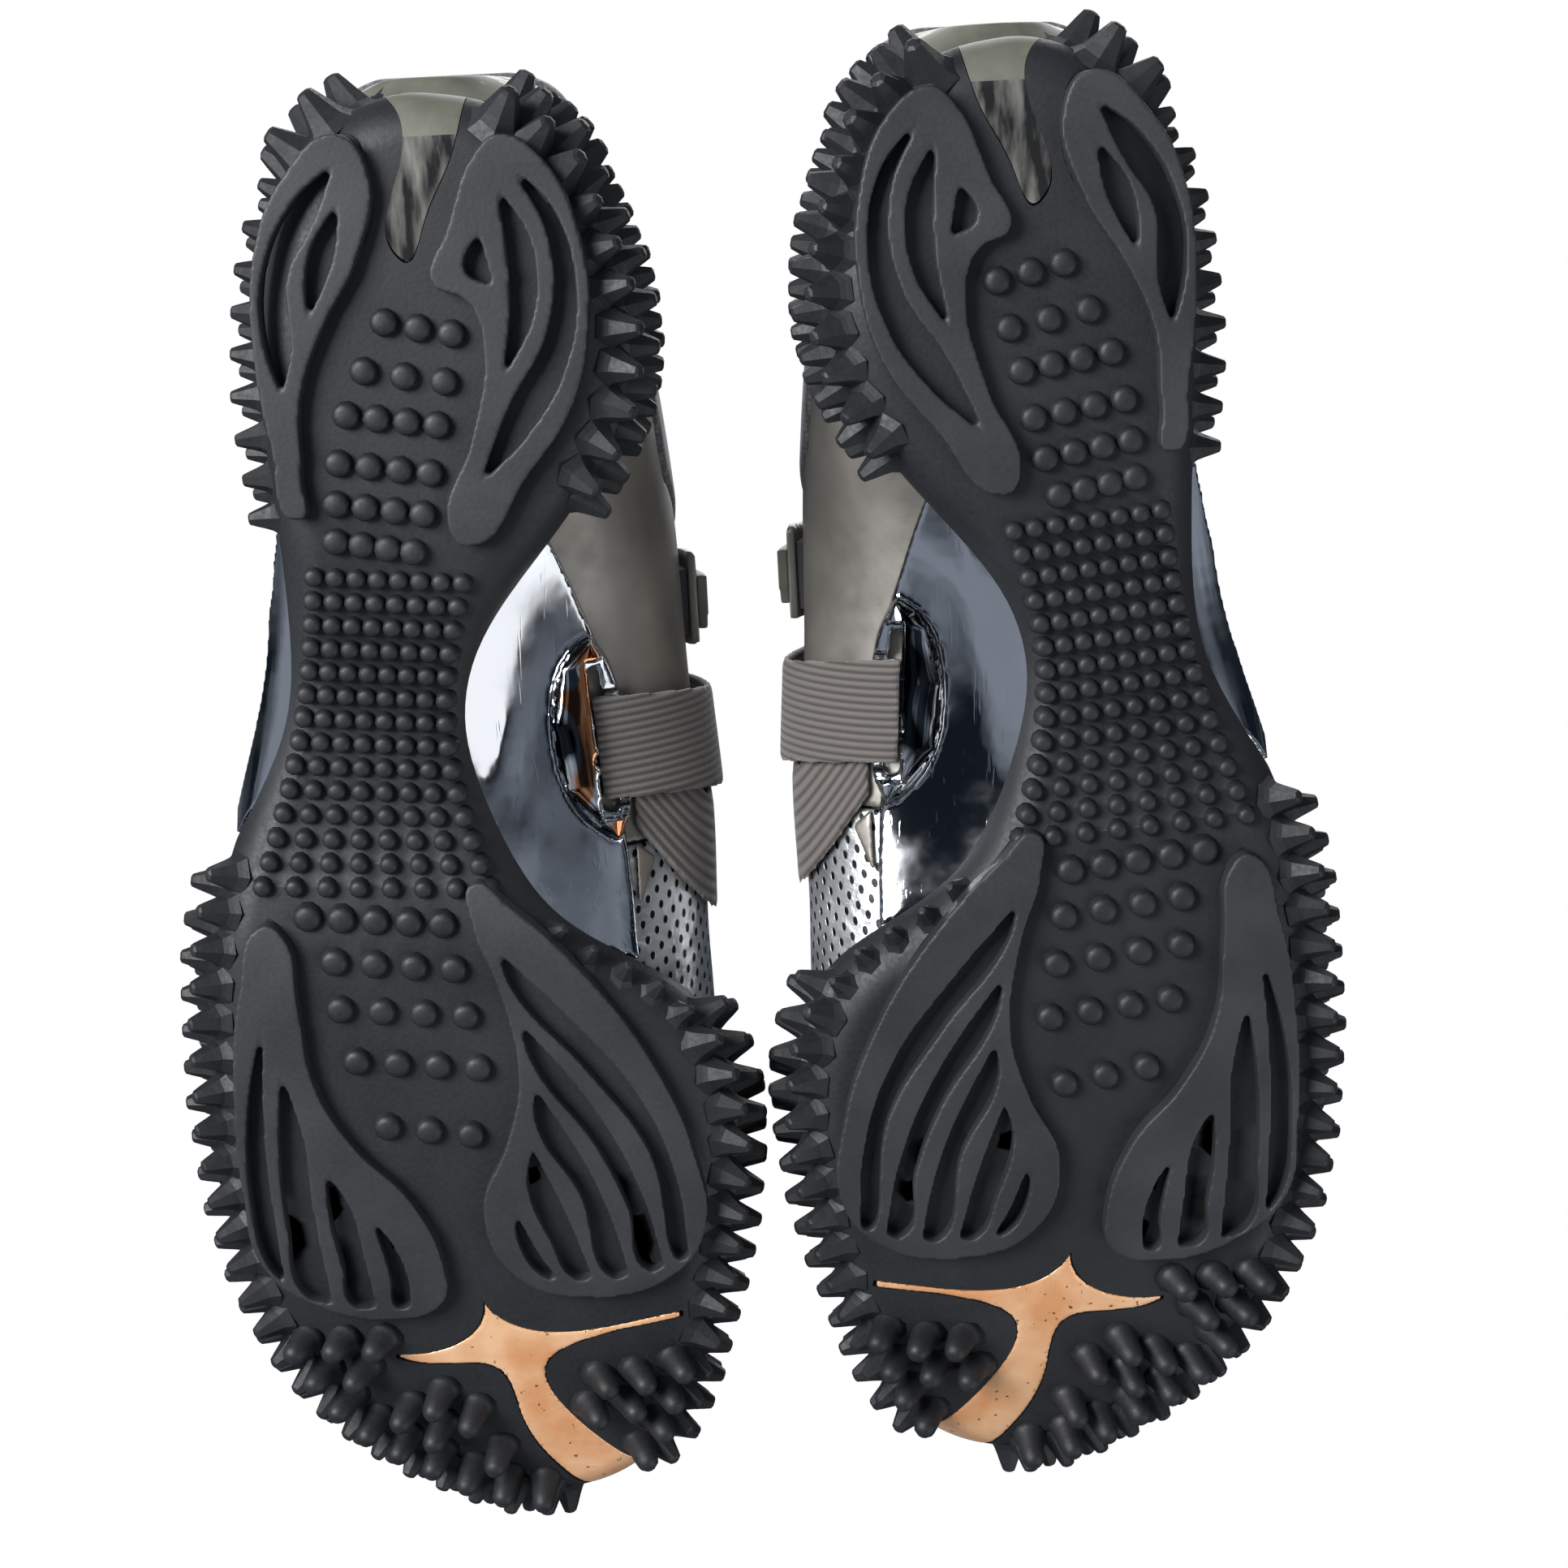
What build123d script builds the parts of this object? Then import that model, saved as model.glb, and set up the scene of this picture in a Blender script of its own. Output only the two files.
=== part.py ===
from build123d import *
import math
import os

# A pair of low strap shoes with a spiked, lugged rubber outsole, in millimetres.
# Every piece is modelled on the left shoe, in the shoe's own frame: X towards the big toe side,
# Y from the heel to the toe, Z up from the floor. The right shoe is its mirror image.
# The row's frame: origin on the floor in the middle of the pair, +Y to the toes, +Z up.

# ---- Pair ----
SHOE_SPACING = 113.2      # between the two shoes' own frames
STAGGER = 4.5             # how far the left shoe stands ahead of the right one
PAIR_CENTRE_Y = 145.0     # the pair's middle, measured along a shoe

# ---- Outsole ----
RUBBER = 3.2              # thickness of the outsole's floor and wall
EDGE_ROUND = 9.0          # rounding between the outsole's floor and wall
LUG_HEIGHT = 3.5          # lugs stand this far below the rubber floor
ARCH_RISE = 5.5           # the waist is this much higher than the heel
HEEL_FLAT = 70.0          # the flat heel ends here
BALL_START = 166.0        # the flat forefoot starts here
SPRING_START = 205.0      # toe spring starts here
SPRING_RADIUS = 270.0
HEEL_WALL = 27.0          # height of the rubber wall round the heel
WAIST_WALL = 12.0         # height of the rubber at the waist
BALL_WALL = 25.0          # height of the rubber wall at the ball of the foot
TOE_WALL = 40.0           # height of the rubber wall at the toe's tip
HEEL_WALL_END = 58.0      # the wall starts to fall here, towards the waist
WAIST_WALL_START = 86.0
TOE_RISE_START = 225.0
OUTER_RISE = (134.0, 162.0)   # the outer wall rises from the waist to the ball between these places
INNER_RISE = (168.0, 192.0)   # and the inner wall between these
WALL_BEND = 12.0          # rounding of the wall's top line
LUG_SINK = 1.0            # lugs and nubs are rooted this deep in the rubber floor
HEEL_NUB = 2.6
WAIST_NUB = 1.9
BALL_NUB = 2.8
NUB_HEIGHT = 2.4
ROW_DRIFT = 2.6           # rows of nubs slant by this much from one side to the other
NUB_SINK = 1.0
STUD_RADIUS = 2.7
STUD_TIP = 0.7
STUD_LENGTH = 6.2
STUD_SINK = 0.9
STUD_PITCH = 9.6

# ---- Layers, as distances outside the foot's own form ----
SOCK_GROW = 0.2
LINING = (0.3, 1.3)
STIFFENER = (1.4, 2.4)
UPPER = (2.7, 4.4)
COLLAR = (0.3, 5.2)
TONGUE = (0.3, 2.4)
SHANK = (4.7, 7.0)
FLARE = 13.0              # the plate's outer wing flares this far out
BOSS = 8.8                # and the boss round the band's slot stands this far out
LOWER_BAND = (4.8, 6.4)
UPPER_BAND = (7.2, 8.9)
BAND_END = (4.5, 7.9)     # the end of the band that goes in through the slot
PATCH = (4.5, 5.9)
STRAP = (6.0, 7.9)
STRAP_TIP = (8.0, 10.2)
TAB = (4.5, 5.8)
UPPER_CLEAR = 4.5
MIDSOLE_CLEAR = 4.6
SHANK_CLEAR = 7.1
FILLING_DROP = 3.0        # the midsole stops this far below the rubber wall's top
FIT = 0.2                 # gap left between neighbouring pieces of one shoe
BOARD = 1.5               # thickness of the insole board
SOCK = 3.2                # thickness of the sock liner on it
BAND_WIDTH = 21.0
STRAP_WIDTH = 20.0

# ---- Limits of cutting blocks, beyond the shoe on every side ----
SPAN = 80.0
BACK = -20.0
FRONT = 310.0
SKY = 125.0

# Plan of the rubber outsole: from the heel, up the outer side, round the toe and back.
SOLE_OUTLINE = [
    (5, 0), (-14, 6), (-25.5, 24), (-30.5, 55), (-29.8, 86), (-34.5, 115), (-46.5, 143), (-53, 180),
    (-51.5, 222), (-39, 257), (-17, 278.5), (9, 288), (27, 280.5), (39, 257), (47.5, 224), (49.5, 194),
    (40, 173), (18, 157), (6.5, 133), (7, 103), (24, 79), (38, 52), (35, 26), (22, 6),
]
RIM = Spline(*SOLE_OUTLINE, periodic=True)
RIM_POINTS = 64
# Lugs, each a smooth closed curve, and their slots: two sides that meet in a tip.
HEEL_OUTER_LUG = [
    (-10, 6.5), (-20.5, 13.7), (-27, 27), (-28.6, 45), (-27.2, 61), (-23.6, 74.5), (-22.2, 66),
    (-20.9, 52), (-15.5, 39.5), (-9, 29), (-5.2, 13),
]
HEEL_OUTER_SLOTS = [
    ([(-10.9, 11.5), (-16, 22), (-21.3, 31), (-21.8, 43), (-24.3, 52)],
     [(-10.9, 11.5), (-19, 17.8), (-25.6, 30), (-26.6, 42), (-24.3, 52)]),
    ([(-10.8, 18), (-12.8, 28), (-18.5, 39)], [(-10.8, 18), (-17, 27), (-18.5, 39)]),
]
HEEL_INNER_LUG = [
    (18.3, 7.8), (26, 12.5), (31.6, 26), (32.2, 41), (28.5, 55.5), (19, 68.5), (7, 81), (3.8, 77.5),
    (9.5, 61), (12.9, 44), (10.5, 36.5), (4.6, 33), (8, 24), (14.3, 10.5),
]
HEEL_INNER_SLOTS = [
    ([(20, 13), (26, 26), (24.8, 42), (16.5, 56), (10.2, 69.5)],
     [(20, 13), (27.3, 21.5), (30.2, 35), (27.4, 49), (20, 60.5), (10.2, 69.5)]),
    ([(17.6, 17), (18.4, 36), (16, 50.5)], [(17.6, 17), (22.8, 27), (22.4, 39), (16, 50.5)]),
    ([(13.6, 24.5), (15.4, 34)], [(13.6, 24.5), (10.6, 31), (15.4, 34)]),
]
BALL_OUTER_LUG = [
    (-38.5, 152.5), (-44.2, 165.4), (-47.4, 184), (-48, 207), (-46, 223.5), (-38, 232), (-20, 237.4),
    (-10.8, 234), (-9.8, 226), (-15, 211), (-25, 199), (-31.5, 186), (-33.3, 168), (-34.7, 155),
]
BALL_OUTER_SLOTS = [
    ([(-40.2, 171), (-42.3, 191), (-42.5, 210), (-41.8, 228)],
     [(-40.2, 171), (-45.2, 190), (-46.6, 210), (-45, 223), (-41.8, 228)]),
    ([(-38, 182), (-35, 196.4), (-34.5, 212), (-32.9, 233)],
     [(-38, 182), (-40, 200), (-40, 216), (-38.2, 230.6)]),
    ([(-31.4, 204), (-27.6, 210.5), (-25.4, 224), (-24.2, 234.4)],
     [(-31.4, 204), (-31.4, 214), (-30, 225), (-29, 233.4)]),
    ([(-23.3, 214), (-19.2, 221), (-17.2, 229), (-17.4, 234.4)],
     [(-23.3, 214), (-21.5, 222), (-20.6, 228), (-20, 234.6)]),
]
BALL_INNER_LUG = [
    (2.2, 146.5), (1.6, 154), (5.7, 167), (8.3, 186), (5, 199.5), (-0.9, 214), (4.5, 229), (18, 234.4),
    (36, 230.3), (43, 220), (41.6, 203), (35.6, 186), (24, 167), (9, 151),
]
BALL_INNER_SLOTS = [
    ([(6.4, 160), (19.3, 174.5), (32, 192), (38, 210), (39.2, 226)],
     [(6.4, 160), (8.5, 167.5), (22, 185.3), (33, 203), (37.4, 227)]),
    ([(9.1, 174), (22.4, 193), (30.5, 211), (34.2, 228)],
     [(9.1, 174), (11.5, 183.5), (22.5, 201), (28, 215), (31.2, 229)]),
    ([(11.2, 188), (20.3, 205.5), (24.6, 218), (27, 229.6)],
     [(11.2, 188), (11.2, 196.4), (18.6, 211), (23.8, 230.2)]),
    ([(9.9, 201), (15.6, 216), (19.6, 229.8)], [(9.9, 201), (8.4, 208.5), (12, 221), (16.6, 230.2)]),
    ([(5.3, 214), (9.4, 224), (12.8, 230)], [(5.3, 214), (5.8, 222), (9.9, 229)]),
]
# The notch between the two horns at the heel, and the plate seen through it.
NOTCH = [(-3, 0), (-0.8, 15), (-2, 28), (-0.4, 29.4), (3.4, 23.5), (9, 12.5), (12.5, 0)]
# The T-shaped window in the toe: each side is a smooth line between the T's three tips.
T_INNER_ARM = [(-3.2, 235.9), (2.4, 241.6), (13, 244), (37, 240.4)]
T_INNER_STEM = [(37.3, 241.9), (16.9, 246.4), (8.7, 251.6), (12.1, 264.4), (32, 283)]
T_OUTER_STEM = [(22, 292), (9.7, 280.9), (1.9, 264.8), (-2, 252.4), (-12.5, 250.6), (-22.2, 248.4)]
T_OUTER_ARM = [(-22.2, 247.4), (-10.4, 246), (-5.6, 242.6), (-3.2, 235.9)]

T_CENTRE = (4.0, 247.5)
NOTCH_CENTRE = (3.0, 5.0)
WINDOW_FIT = 0.02         # what fills a window is drawn in by this share, to clear its edge

# Stations of the foot's form: y, lowest z, crest z, crest x, tread's outer and inner x,
# belly's outer and inner x, belly's z, and how much a thicker layer moves the station along Y.
STATIONS = [
    (1.0, 36.0, 104.0, 3.0, -2.0, 8.0, -5.0, 11.0, 60.0, -1.0),
    (4.0, 33.0, 104.0, 3.0, -5.0, 12.0, -12.0, 19.0, 56.0, -0.9),
    (12.0, 23.0, 104.0, 3.0, -7.5, 14.5, -17.5, 24.5, 52.0, -0.6),
    (30.0, 18.2, 104.0, 3.5, -14.0, 20.0, -23.0, 31.0, 48.0, -0.2),
    (58.0, 18.4, 104.0, 4.0, -18.5, 19.0, -27.0, 36.0, 48.0, 0.0),
    (88.0, 19.6, 98.0, 4.0, -18.5, 8.0, -30.0, 38.5, 50.0, 0.0),
    (118.0, 19.8, 80.0, 3.0, -24.0, 4.0, -34.5, 40.0, 47.0, 0.0),
    (148.0, 18.0, 64.0, 2.0, -35.0, 9.0, -40.5, 42.0, 40.0, 0.0),
    (180.0, 15.0, 54.0, 0.0, -40.5, 30.0, -44.5, 42.0, 33.0, 0.0),
    (212.0, 15.2, 49.0, -1.0, -40.0, 36.0, -43.5, 40.0, 32.0, 0.0),
    (242.0, 17.6, 46.0, 1.0, -32.0, 30.0, -36.5, 34.0, 32.0, 0.2),
    (264.0, 21.8, 42.0, 4.0, -17.0, 22.0, -20.0, 26.0, 32.0, 0.6),
    (274.0, 25.0, 38.5, 6.0, -4.0, 16.0, -6.0, 18.0, 32.0, 0.9),
    (278.0, 28.0, 36.0, 7.0, 2.0, 12.0, 1.0, 13.0, 32.0, 1.0),
]
FOOTBED = [
    (BACK, 18.6), (45, 18.6), (95, 19.9), (140, 18.8), (185, 15.2), (215, 15.6), (250, 19.4), (FRONT, 33),
]
BOARD_DEPTH = 9.0         # the insole board reaches this far down, to the foot form's underside
TREAD_SHARE = 0.6         # the flat middle of the tread, of its width
TREAD_CAMBER = 0.3
CORNER_RISE = 0.28        # how high the tread's corner stands, below the flank
FLANK_SHARE = 0.62        # how far out the flank stands between the tread and the belly
FLANK_RISE = 0.4          # and how high
SHOULDER_SHARE = 0.64     # the same for the shoulder, between the crest and the belly
SHOULDER_RISE = 0.7

# Side views of the upper's parts, as (y, z).
TOPLINE = [(BACK, 72), (10, 70), (48, 57), (76, 62), (92, 80), (96, SKY)]
COLLAR_BAND = 13.0        # height of the padded collar
COLLAR_FRONT = 88.0
HEEL_CLIP_FRONT = 26.0
HEEL_CLIP_LOW = 17.0
HEEL_CLIP_TOP = 46.0
COUNTER_BLOCK = (BACK, 56.0, 22.0, 50.0)   # y from, y to, z from, z to
TOE_PUFF_BLOCK = (238.0, FRONT, 26.0, SKY)
VAMP_EDGE = [(147, -5), (146, 40), (136, SKY)]
SHANK_ENDS = (77.0, 161.0)
HEEL_FILLING_END = 76.0
BALL_FILLING_START = 162.0
OUTER_WING = [(77, 0), (77, 20), (96, 25), (142, 25), (161, 16), (161, 0)]
OUTER_FLARE = [(88, 12.8), (79, 16.4), (79, 18.6), (96, 23.6), (135, 23.6), (139, 19.5), (129, 12.8)]
FLARE_INNER = -24.0       # the flare starts this far out
OUTER_END = 34.0          # the bands end this high on the outer side
BAND_BACK = 120.0         # rear edge of the band over the instep
BAND_SETBACK = 5.8        # its end in the slot sits this much further back
BAND_TURN = (16.0, 50.0)  # and it leans forward between these heights
BAND_SIDE_TOP = 40.0      # up to here the inner side's part is taken in plan
LOWER_BAND_TOP = 44.0     # the same for the band that runs aslant to the toe
ANCHOR_BLOCK = (121.5, 139.5, 34.0, 44.0)
STRAP_BACK = 93.0
STRAP_LEAN = 6.0          # the strap's top leans this far forward
STRAP_INNER_END = 56.0
STRAP_HINGE_Z = 58.0
HINGE_GAP = 0.8
STRAP_ANCHOR_LOW = 46.0
PATCH_BLOCK = (97.0, 111.0, 57.0, 70.0)
TIP_BLOCK = (98.5, 110.0, 58.0, 69.0)
THROAT = (88.0, 152.0, 2.0, 15.0, 48.0)     # y from, y to, middle x, half width, lowest z
TONGUE_BLOCK = (78.0, 160.0, 2.0, 22.0, 46.0)

# The inner side in plan: the plate's wing, the boss with its slot, and what lies round them.
INNER_WING_EDGE = [
    (17, 77), (22.5, 90), (26.2, 101), (28.5, 108), (29.8, 120), (30.2, 135), (31.2, 145), (32, 156), (32.5, 168),
]
BOSS_INNER = [(26.5, 103.7), (20.6, 109), (18.3, 120), (20.2, 133), (29.8, 144)]
BOSS_OUTER = [(29.8, 144), (32.2, 139), (32.0, 125), (30.6, 112), (26.5, 103.7)]
LOOP_SLOT = [(25.4, 109), (27.6, 109.8), (29.2, 124), (30.2, 138.6), (27.2, 138.2), (26.2, 123.5)]
BOSS_NOTCH = [(25.65, 114.4), (26.35, 123.5), (27.25, 137.4), (SPAN, 137.4), (SPAN, 114.4)]
BAND_PLAN = [(25.9, 113), (26.5, 123.5), (27.4, 137), (SPAN, 165), (SPAN, 100)]
BAND_END_PLAN = [(26.3, 110), (26.9, 123.5), (27.8, 138), (29.7, 138), (28.85, 124), (27.5, 110)]
LOWER_BAND_SIDE = [(32.9, 142.7), (60, 181.6), (60, 159.2), (32.9, 120)]
LOWER_BAND_OVER = [(60, 158.5), (-47, 195), (-57, 176), (60, 136)]
TAB_PLAN = [(32.9, 146), (36.6, 149.5), (33.5, 157.5), (32.9, 157.5)]

# Rim studs: rows as (angle from straight down, height above the rounding, phase along the rim).
STUD_ROWS = [(56, 0.0, 0.25), (90, 2.6, 0.75), (90, 9.0, 0.25)]
HEEL_STUDS_END = 110.0    # studs behind this place are the heel's
NOTCH_CLEAR = 13.5        # half the width kept free of studs at the notch
T_CLEAR = 13.0            # the same at the foot of the T


def tread_height(y):
    """Height of the rubber floor's underside, between the lugs, at a place along the shoe."""
    if y < HEEL_FLAT:
        return LUG_HEIGHT
    if y < BALL_START:
        share = (y - HEEL_FLAT) / (BALL_START - HEEL_FLAT)
        return LUG_HEIGHT + ARCH_RISE * (1 - math.cos(2 * math.pi * share)) / 2
    if y < SPRING_START:
        return LUG_HEIGHT
    return LUG_HEIGHT + SPRING_RADIUS - math.sqrt(SPRING_RADIUS**2 - (y - SPRING_START) ** 2)


def above_tread(shift, ceiling):
    """Side view of all that is above the tread line, which is moved up by shift."""
    with BuildSketch(Plane.YZ) as region:
        with BuildLine():
            base = LUG_HEIGHT + shift
            heel = Line((BACK, base), (HEEL_FLAT, base))
            waist = [HEEL_FLAT + (BALL_START - HEEL_FLAT) * step / 6 for step in range(7)]
            arch = Spline(*[(y, tread_height(y) + shift) for y in waist], tangents=[(1, 0), (1, 0)])
            ball = Line(arch @ 1, (SPRING_START, base))
            spring = TangentArc(ball @ 1, (FRONT, tread_height(FRONT) + shift), tangent=(1, 0))
            Polyline(spring @ 1, (FRONT, ceiling), (BACK, ceiling), heel @ 0)
        make_face()
    return region.sketch


def wall_line(rise, drop=0.0):
    """Side view of the top line of one side's rubber wall, lowered by drop."""
    rise_start, rise_end = rise
    line = [
        (BACK, HEEL_WALL), (HEEL_WALL_END, HEEL_WALL), (WAIST_WALL_START, WAIST_WALL), (rise_start, WAIST_WALL),
        (rise_end, BALL_WALL), (TOE_RISE_START, BALL_WALL + 2), (FRONT, TOE_WALL),
    ]
    return [(y, z - drop) for y, z in line]


def wall_top(y, rise):
    """Height of the rubber wall's top line at a place along the shoe."""
    line = wall_line(rise)
    for (y_from, z_from), (y_to, z_to) in zip(line, line[1:]):
        if y <= y_to:
            return z_from + (z_to - z_from) * (y - y_from) / (y_to - y_from)
    return TOE_WALL


def keep_below_wall_top(drop):
    """In a part: cuts off what is above the top line of the rubber wall, lowered by drop."""
    for rise, x_to in ((OUTER_RISE, -SPAN), (INNER_RISE, SPAN)):
        with BuildSketch(Plane.YZ) as view:
            with BuildLine():
                top = FilletPolyline(*wall_line(rise, drop), radius=WALL_BEND)
                Polyline(top @ 1, (FRONT, SKY + 5), (BACK, SKY + 5), top @ 0)
            make_face()
        extrude(view.sketch, amount=x_to, mode=Mode.SUBTRACT)


def rim_point(share, inset):
    """A point of the outsole's outline, moved inwards, and the outward direction there."""
    edge = RIM.position_at(share)
    along = RIM.tangent_at(share)
    out = Vector(-along.Y, along.X, 0).normalized()
    return Vector(edge.X, edge.Y, 0) - out * inset, out


def sole_block(inset):
    """The outsole's outer form, filled, with its wall and floor moved inwards by inset."""
    outline = [rim_point(number / RIM_POINTS, inset)[0] for number in range(RIM_POINTS)]
    with BuildPart() as block:
        with BuildSketch(Plane.XY):
            with BuildLine():
                Spline(*outline, periodic=True)
            make_face()
        extrude(amount=SKY)
        extrude(above_tread(inset, SKY), amount=SPAN, both=True, mode=Mode.INTERSECT)
        wall = block.faces().sort_by(SortBy.AREA)[-1]
        rim = [e for e in wall.edges() if e.center().Z < 60 and abs(e.tangent_at(0.5).Z) < 0.9]
        fillet(rim, radius=EDGE_ROUND - inset)
    return block.part


def foot_form(grow):
    """The foot's form, made larger all round by grow."""
    with BuildPart() as form:
        for y, low, crest, mid, foot_out, foot_in, belly_out, belly_in, belly_z, along in STATIONS:
            flank_z = low + FLANK_RISE * (belly_z - low)
            flank_out = foot_out + FLANK_SHARE * (belly_out - foot_out)
            flank_in = foot_in + FLANK_SHARE * (belly_in - foot_in)
            shoulder_z = belly_z + SHOULDER_RISE * (crest - belly_z)
            shoulder_out = mid + SHOULDER_SHARE * (belly_out - mid)
            shoulder_in = mid + SHOULDER_SHARE * (belly_in - mid)
            tread_mid = (foot_out + foot_in) / 2
            tread_half = TREAD_SHARE * (foot_in - foot_out) / 2
            corner_z = low + CORNER_RISE * (flank_z - low)
            slant = 0.7 * grow
            with BuildSketch(Plane.XZ.offset(-(y + along * grow))):
                with BuildLine():
                    Spline(
                        (tread_mid, low - grow),
                        (tread_mid + tread_half, low + TREAD_CAMBER - grow),
                        (foot_in + slant, corner_z - slant),
                        (flank_in + slant, flank_z - slant),
                        (belly_in + grow, belly_z),
                        (shoulder_in + slant, shoulder_z + slant),
                        (mid, crest + grow),
                        (shoulder_out - slant, shoulder_z + slant),
                        (belly_out - grow, belly_z),
                        (flank_out - slant, flank_z - slant),
                        (foot_out - slant, corner_z - slant),
                        (tread_mid - tread_half, low + TREAD_CAMBER - grow),
                        periodic=True,
                    )
                make_face()
        loft()
    return form.part


def side_block(outline, x_from, x_to, mode=Mode.ADD):
    """In a part: a block with this outline in side view, between two places across the shoe."""
    with BuildSketch(Plane.YZ.offset(x_from)) as view:
        with BuildLine():
            Polyline(*outline, close=True)
        make_face()
    extrude(view.sketch, amount=x_to - x_from, mode=mode)


def side_slice(y_from, y_to, z_from, z_to, x_from=-SPAN, x_to=SPAN, mode=Mode.ADD):
    """In a part: a plain block."""
    side_block([(y_from, z_from), (y_to, z_from), (y_to, z_to), (y_from, z_to)], x_from, x_to, mode)


def clear_above_topline(drop):
    """In a part: cuts off what is above the shoe's topline, lowered by drop, back of the throat."""
    line = [(y, z - drop) for y, z in TOPLINE]
    with BuildSketch(Plane.YZ) as view:
        with BuildLine():
            Polyline(*line, (BACK, SKY), close=True)
        make_face()
    extrude(view.sketch, amount=SPAN, both=True, mode=Mode.SUBTRACT)


def below_topline(drop):
    """Side view of what is below the shoe's topline, lowered by drop."""
    with BuildSketch(Plane.YZ) as view:
        with BuildLine():
            line = [(y, z - drop) for y, z in TOPLINE]
            Polyline(*line, (line[-1][0], -10), (BACK, -10), close=True)
        make_face()
    return view.sketch


def footbed_strip(low_shift, high_shift):
    """Side view of a strip along the footbed, between two heights above it."""
    with BuildSketch(Plane.YZ) as view:
        with BuildLine():
            low_line = Spline(*[(y, z + low_shift) for y, z in FOOTBED])
            high_line = Spline(*[(y, z + high_shift) for y, z in FOOTBED])
            Line(low_line @ 0, high_line @ 0)
            Line(low_line @ 1, high_line @ 1)
        make_face()
    return view.sketch


def keep_layer(layer):
    """In a part: keeps what lies between two enlarged foot forms."""
    inner, outer = layer
    add(FORMS[outer], mode=Mode.INTERSECT)
    add(FORMS[inner], mode=Mode.SUBTRACT)


def cut_top_window(window, clearance):
    """In a part: cuts the opening over the instep."""
    y_from, y_to, mid, half, low = window
    with BuildSketch(Plane.XY.offset(low - clearance)) as opening:
        with Locations((mid, (y_from + y_to) / 2)):
            Rectangle(2 * (half + clearance), y_to - y_from + 2 * clearance)
    extrude(opening.sketch, amount=SKY, mode=Mode.SUBTRACT)


def plan_block(outline, height, mode=Mode.ADD):
    """In a part: a block with this outline in plan, up from the floor."""
    with BuildSketch() as plan:
        with BuildLine():
            Polyline(*outline, close=True)
        make_face()
    extrude(plan.sketch, amount=height, mode=mode)


def plan_of_wing():
    """The inner half of the chrome plate in plan."""
    with BuildSketch() as plan:
        with BuildLine():
            Spline(*INNER_WING_EDGE)
            Polyline(INNER_WING_EDGE[-1], (18, SHANK_ENDS[1]), (0, SHANK_ENDS[1]), (0, SHANK_ENDS[0]), INNER_WING_EDGE[0])
        make_face()
    return plan.sketch


def plan_of_boss():
    """The raised boss round the band's slot in plan."""
    with BuildSketch() as plan:
        with BuildLine():
            Spline(*BOSS_INNER)
            Spline(*BOSS_OUTER)
        make_face()
    return plan.sketch


def drawn_in(points, centre, share):
    """Points moved towards a centre by a share of their distance."""
    return [(x + share * (centre[0] - x), y + share * (centre[1] - y)) for x, y in points]


def plan_of_t(share):
    """The T-shaped window in plan, drawn in by a share."""
    sides = [drawn_in(side, T_CENTRE, share) for side in (T_INNER_ARM, T_INNER_STEM, T_OUTER_STEM, T_OUTER_ARM)]
    with BuildSketch() as plan:
        with BuildLine():
            for side, following in zip(sides, sides[1:] + sides[:1]):
                Spline(*side)
                if side[-1] != following[0]:
                    Line(side[-1], following[0])
        make_face()
    return plan.sketch


def plan_of_notch(share):
    """The notch at the heel in plan, open to the back, drawn in by a share."""
    side = drawn_in(NOTCH, NOTCH_CENTRE, share)
    with BuildSketch() as plan:
        with BuildLine():
            Spline(*side)
            Polyline(side[-1], (side[-1][0] + 3, BACK), (side[0][0] - 3, BACK), side[0])
        make_face()
    return plan.sketch


LAYERS = [
    LINING, STIFFENER, UPPER, COLLAR, TONGUE, SHANK, LOWER_BAND, UPPER_BAND, BAND_END, PATCH, STRAP, STRAP_TIP, TAB,
]
GROWS = {grow for layer in LAYERS for grow in layer} | {
    SOCK_GROW, UPPER_CLEAR, MIDSOLE_CLEAR, SHANK_CLEAR, FLARE, BOSS,
}
FORMS = {grow: foot_form(grow) for grow in sorted(GROWS)}
OUTER_BLOCK = sole_block(0)
INNER_BLOCK = sole_block(RUBBER)
FILLING_BLOCK = sole_block(RUBBER + FIT)


# ---- Outsole ----
LUGS = [
    (HEEL_OUTER_LUG, HEEL_OUTER_SLOTS),
    (HEEL_INNER_LUG, HEEL_INNER_SLOTS),
    (BALL_OUTER_LUG, BALL_OUTER_SLOTS),
    (BALL_INNER_LUG, BALL_INNER_SLOTS),
]
with BuildPart() as lugs:
    for lug_outline, slots in LUGS:
        with BuildSketch():
            with BuildLine():
                Spline(*lug_outline, periodic=True)
            make_face()
            for right, left in slots:
                with BuildLine():
                    Spline(*right)
                    Spline(*left)
                    if right[-1] != left[-1]:
                        Line(right[-1], left[-1])
                make_face(mode=Mode.SUBTRACT)
        extrude(amount=HEEL_WALL)
    extrude(above_tread(-LUG_HEIGHT, SKY), amount=SPAN, both=True, mode=Mode.INTERSECT)
    extrude(above_tread(LUG_SINK, SKY), amount=SPAN, both=True, mode=Mode.SUBTRACT)

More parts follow.
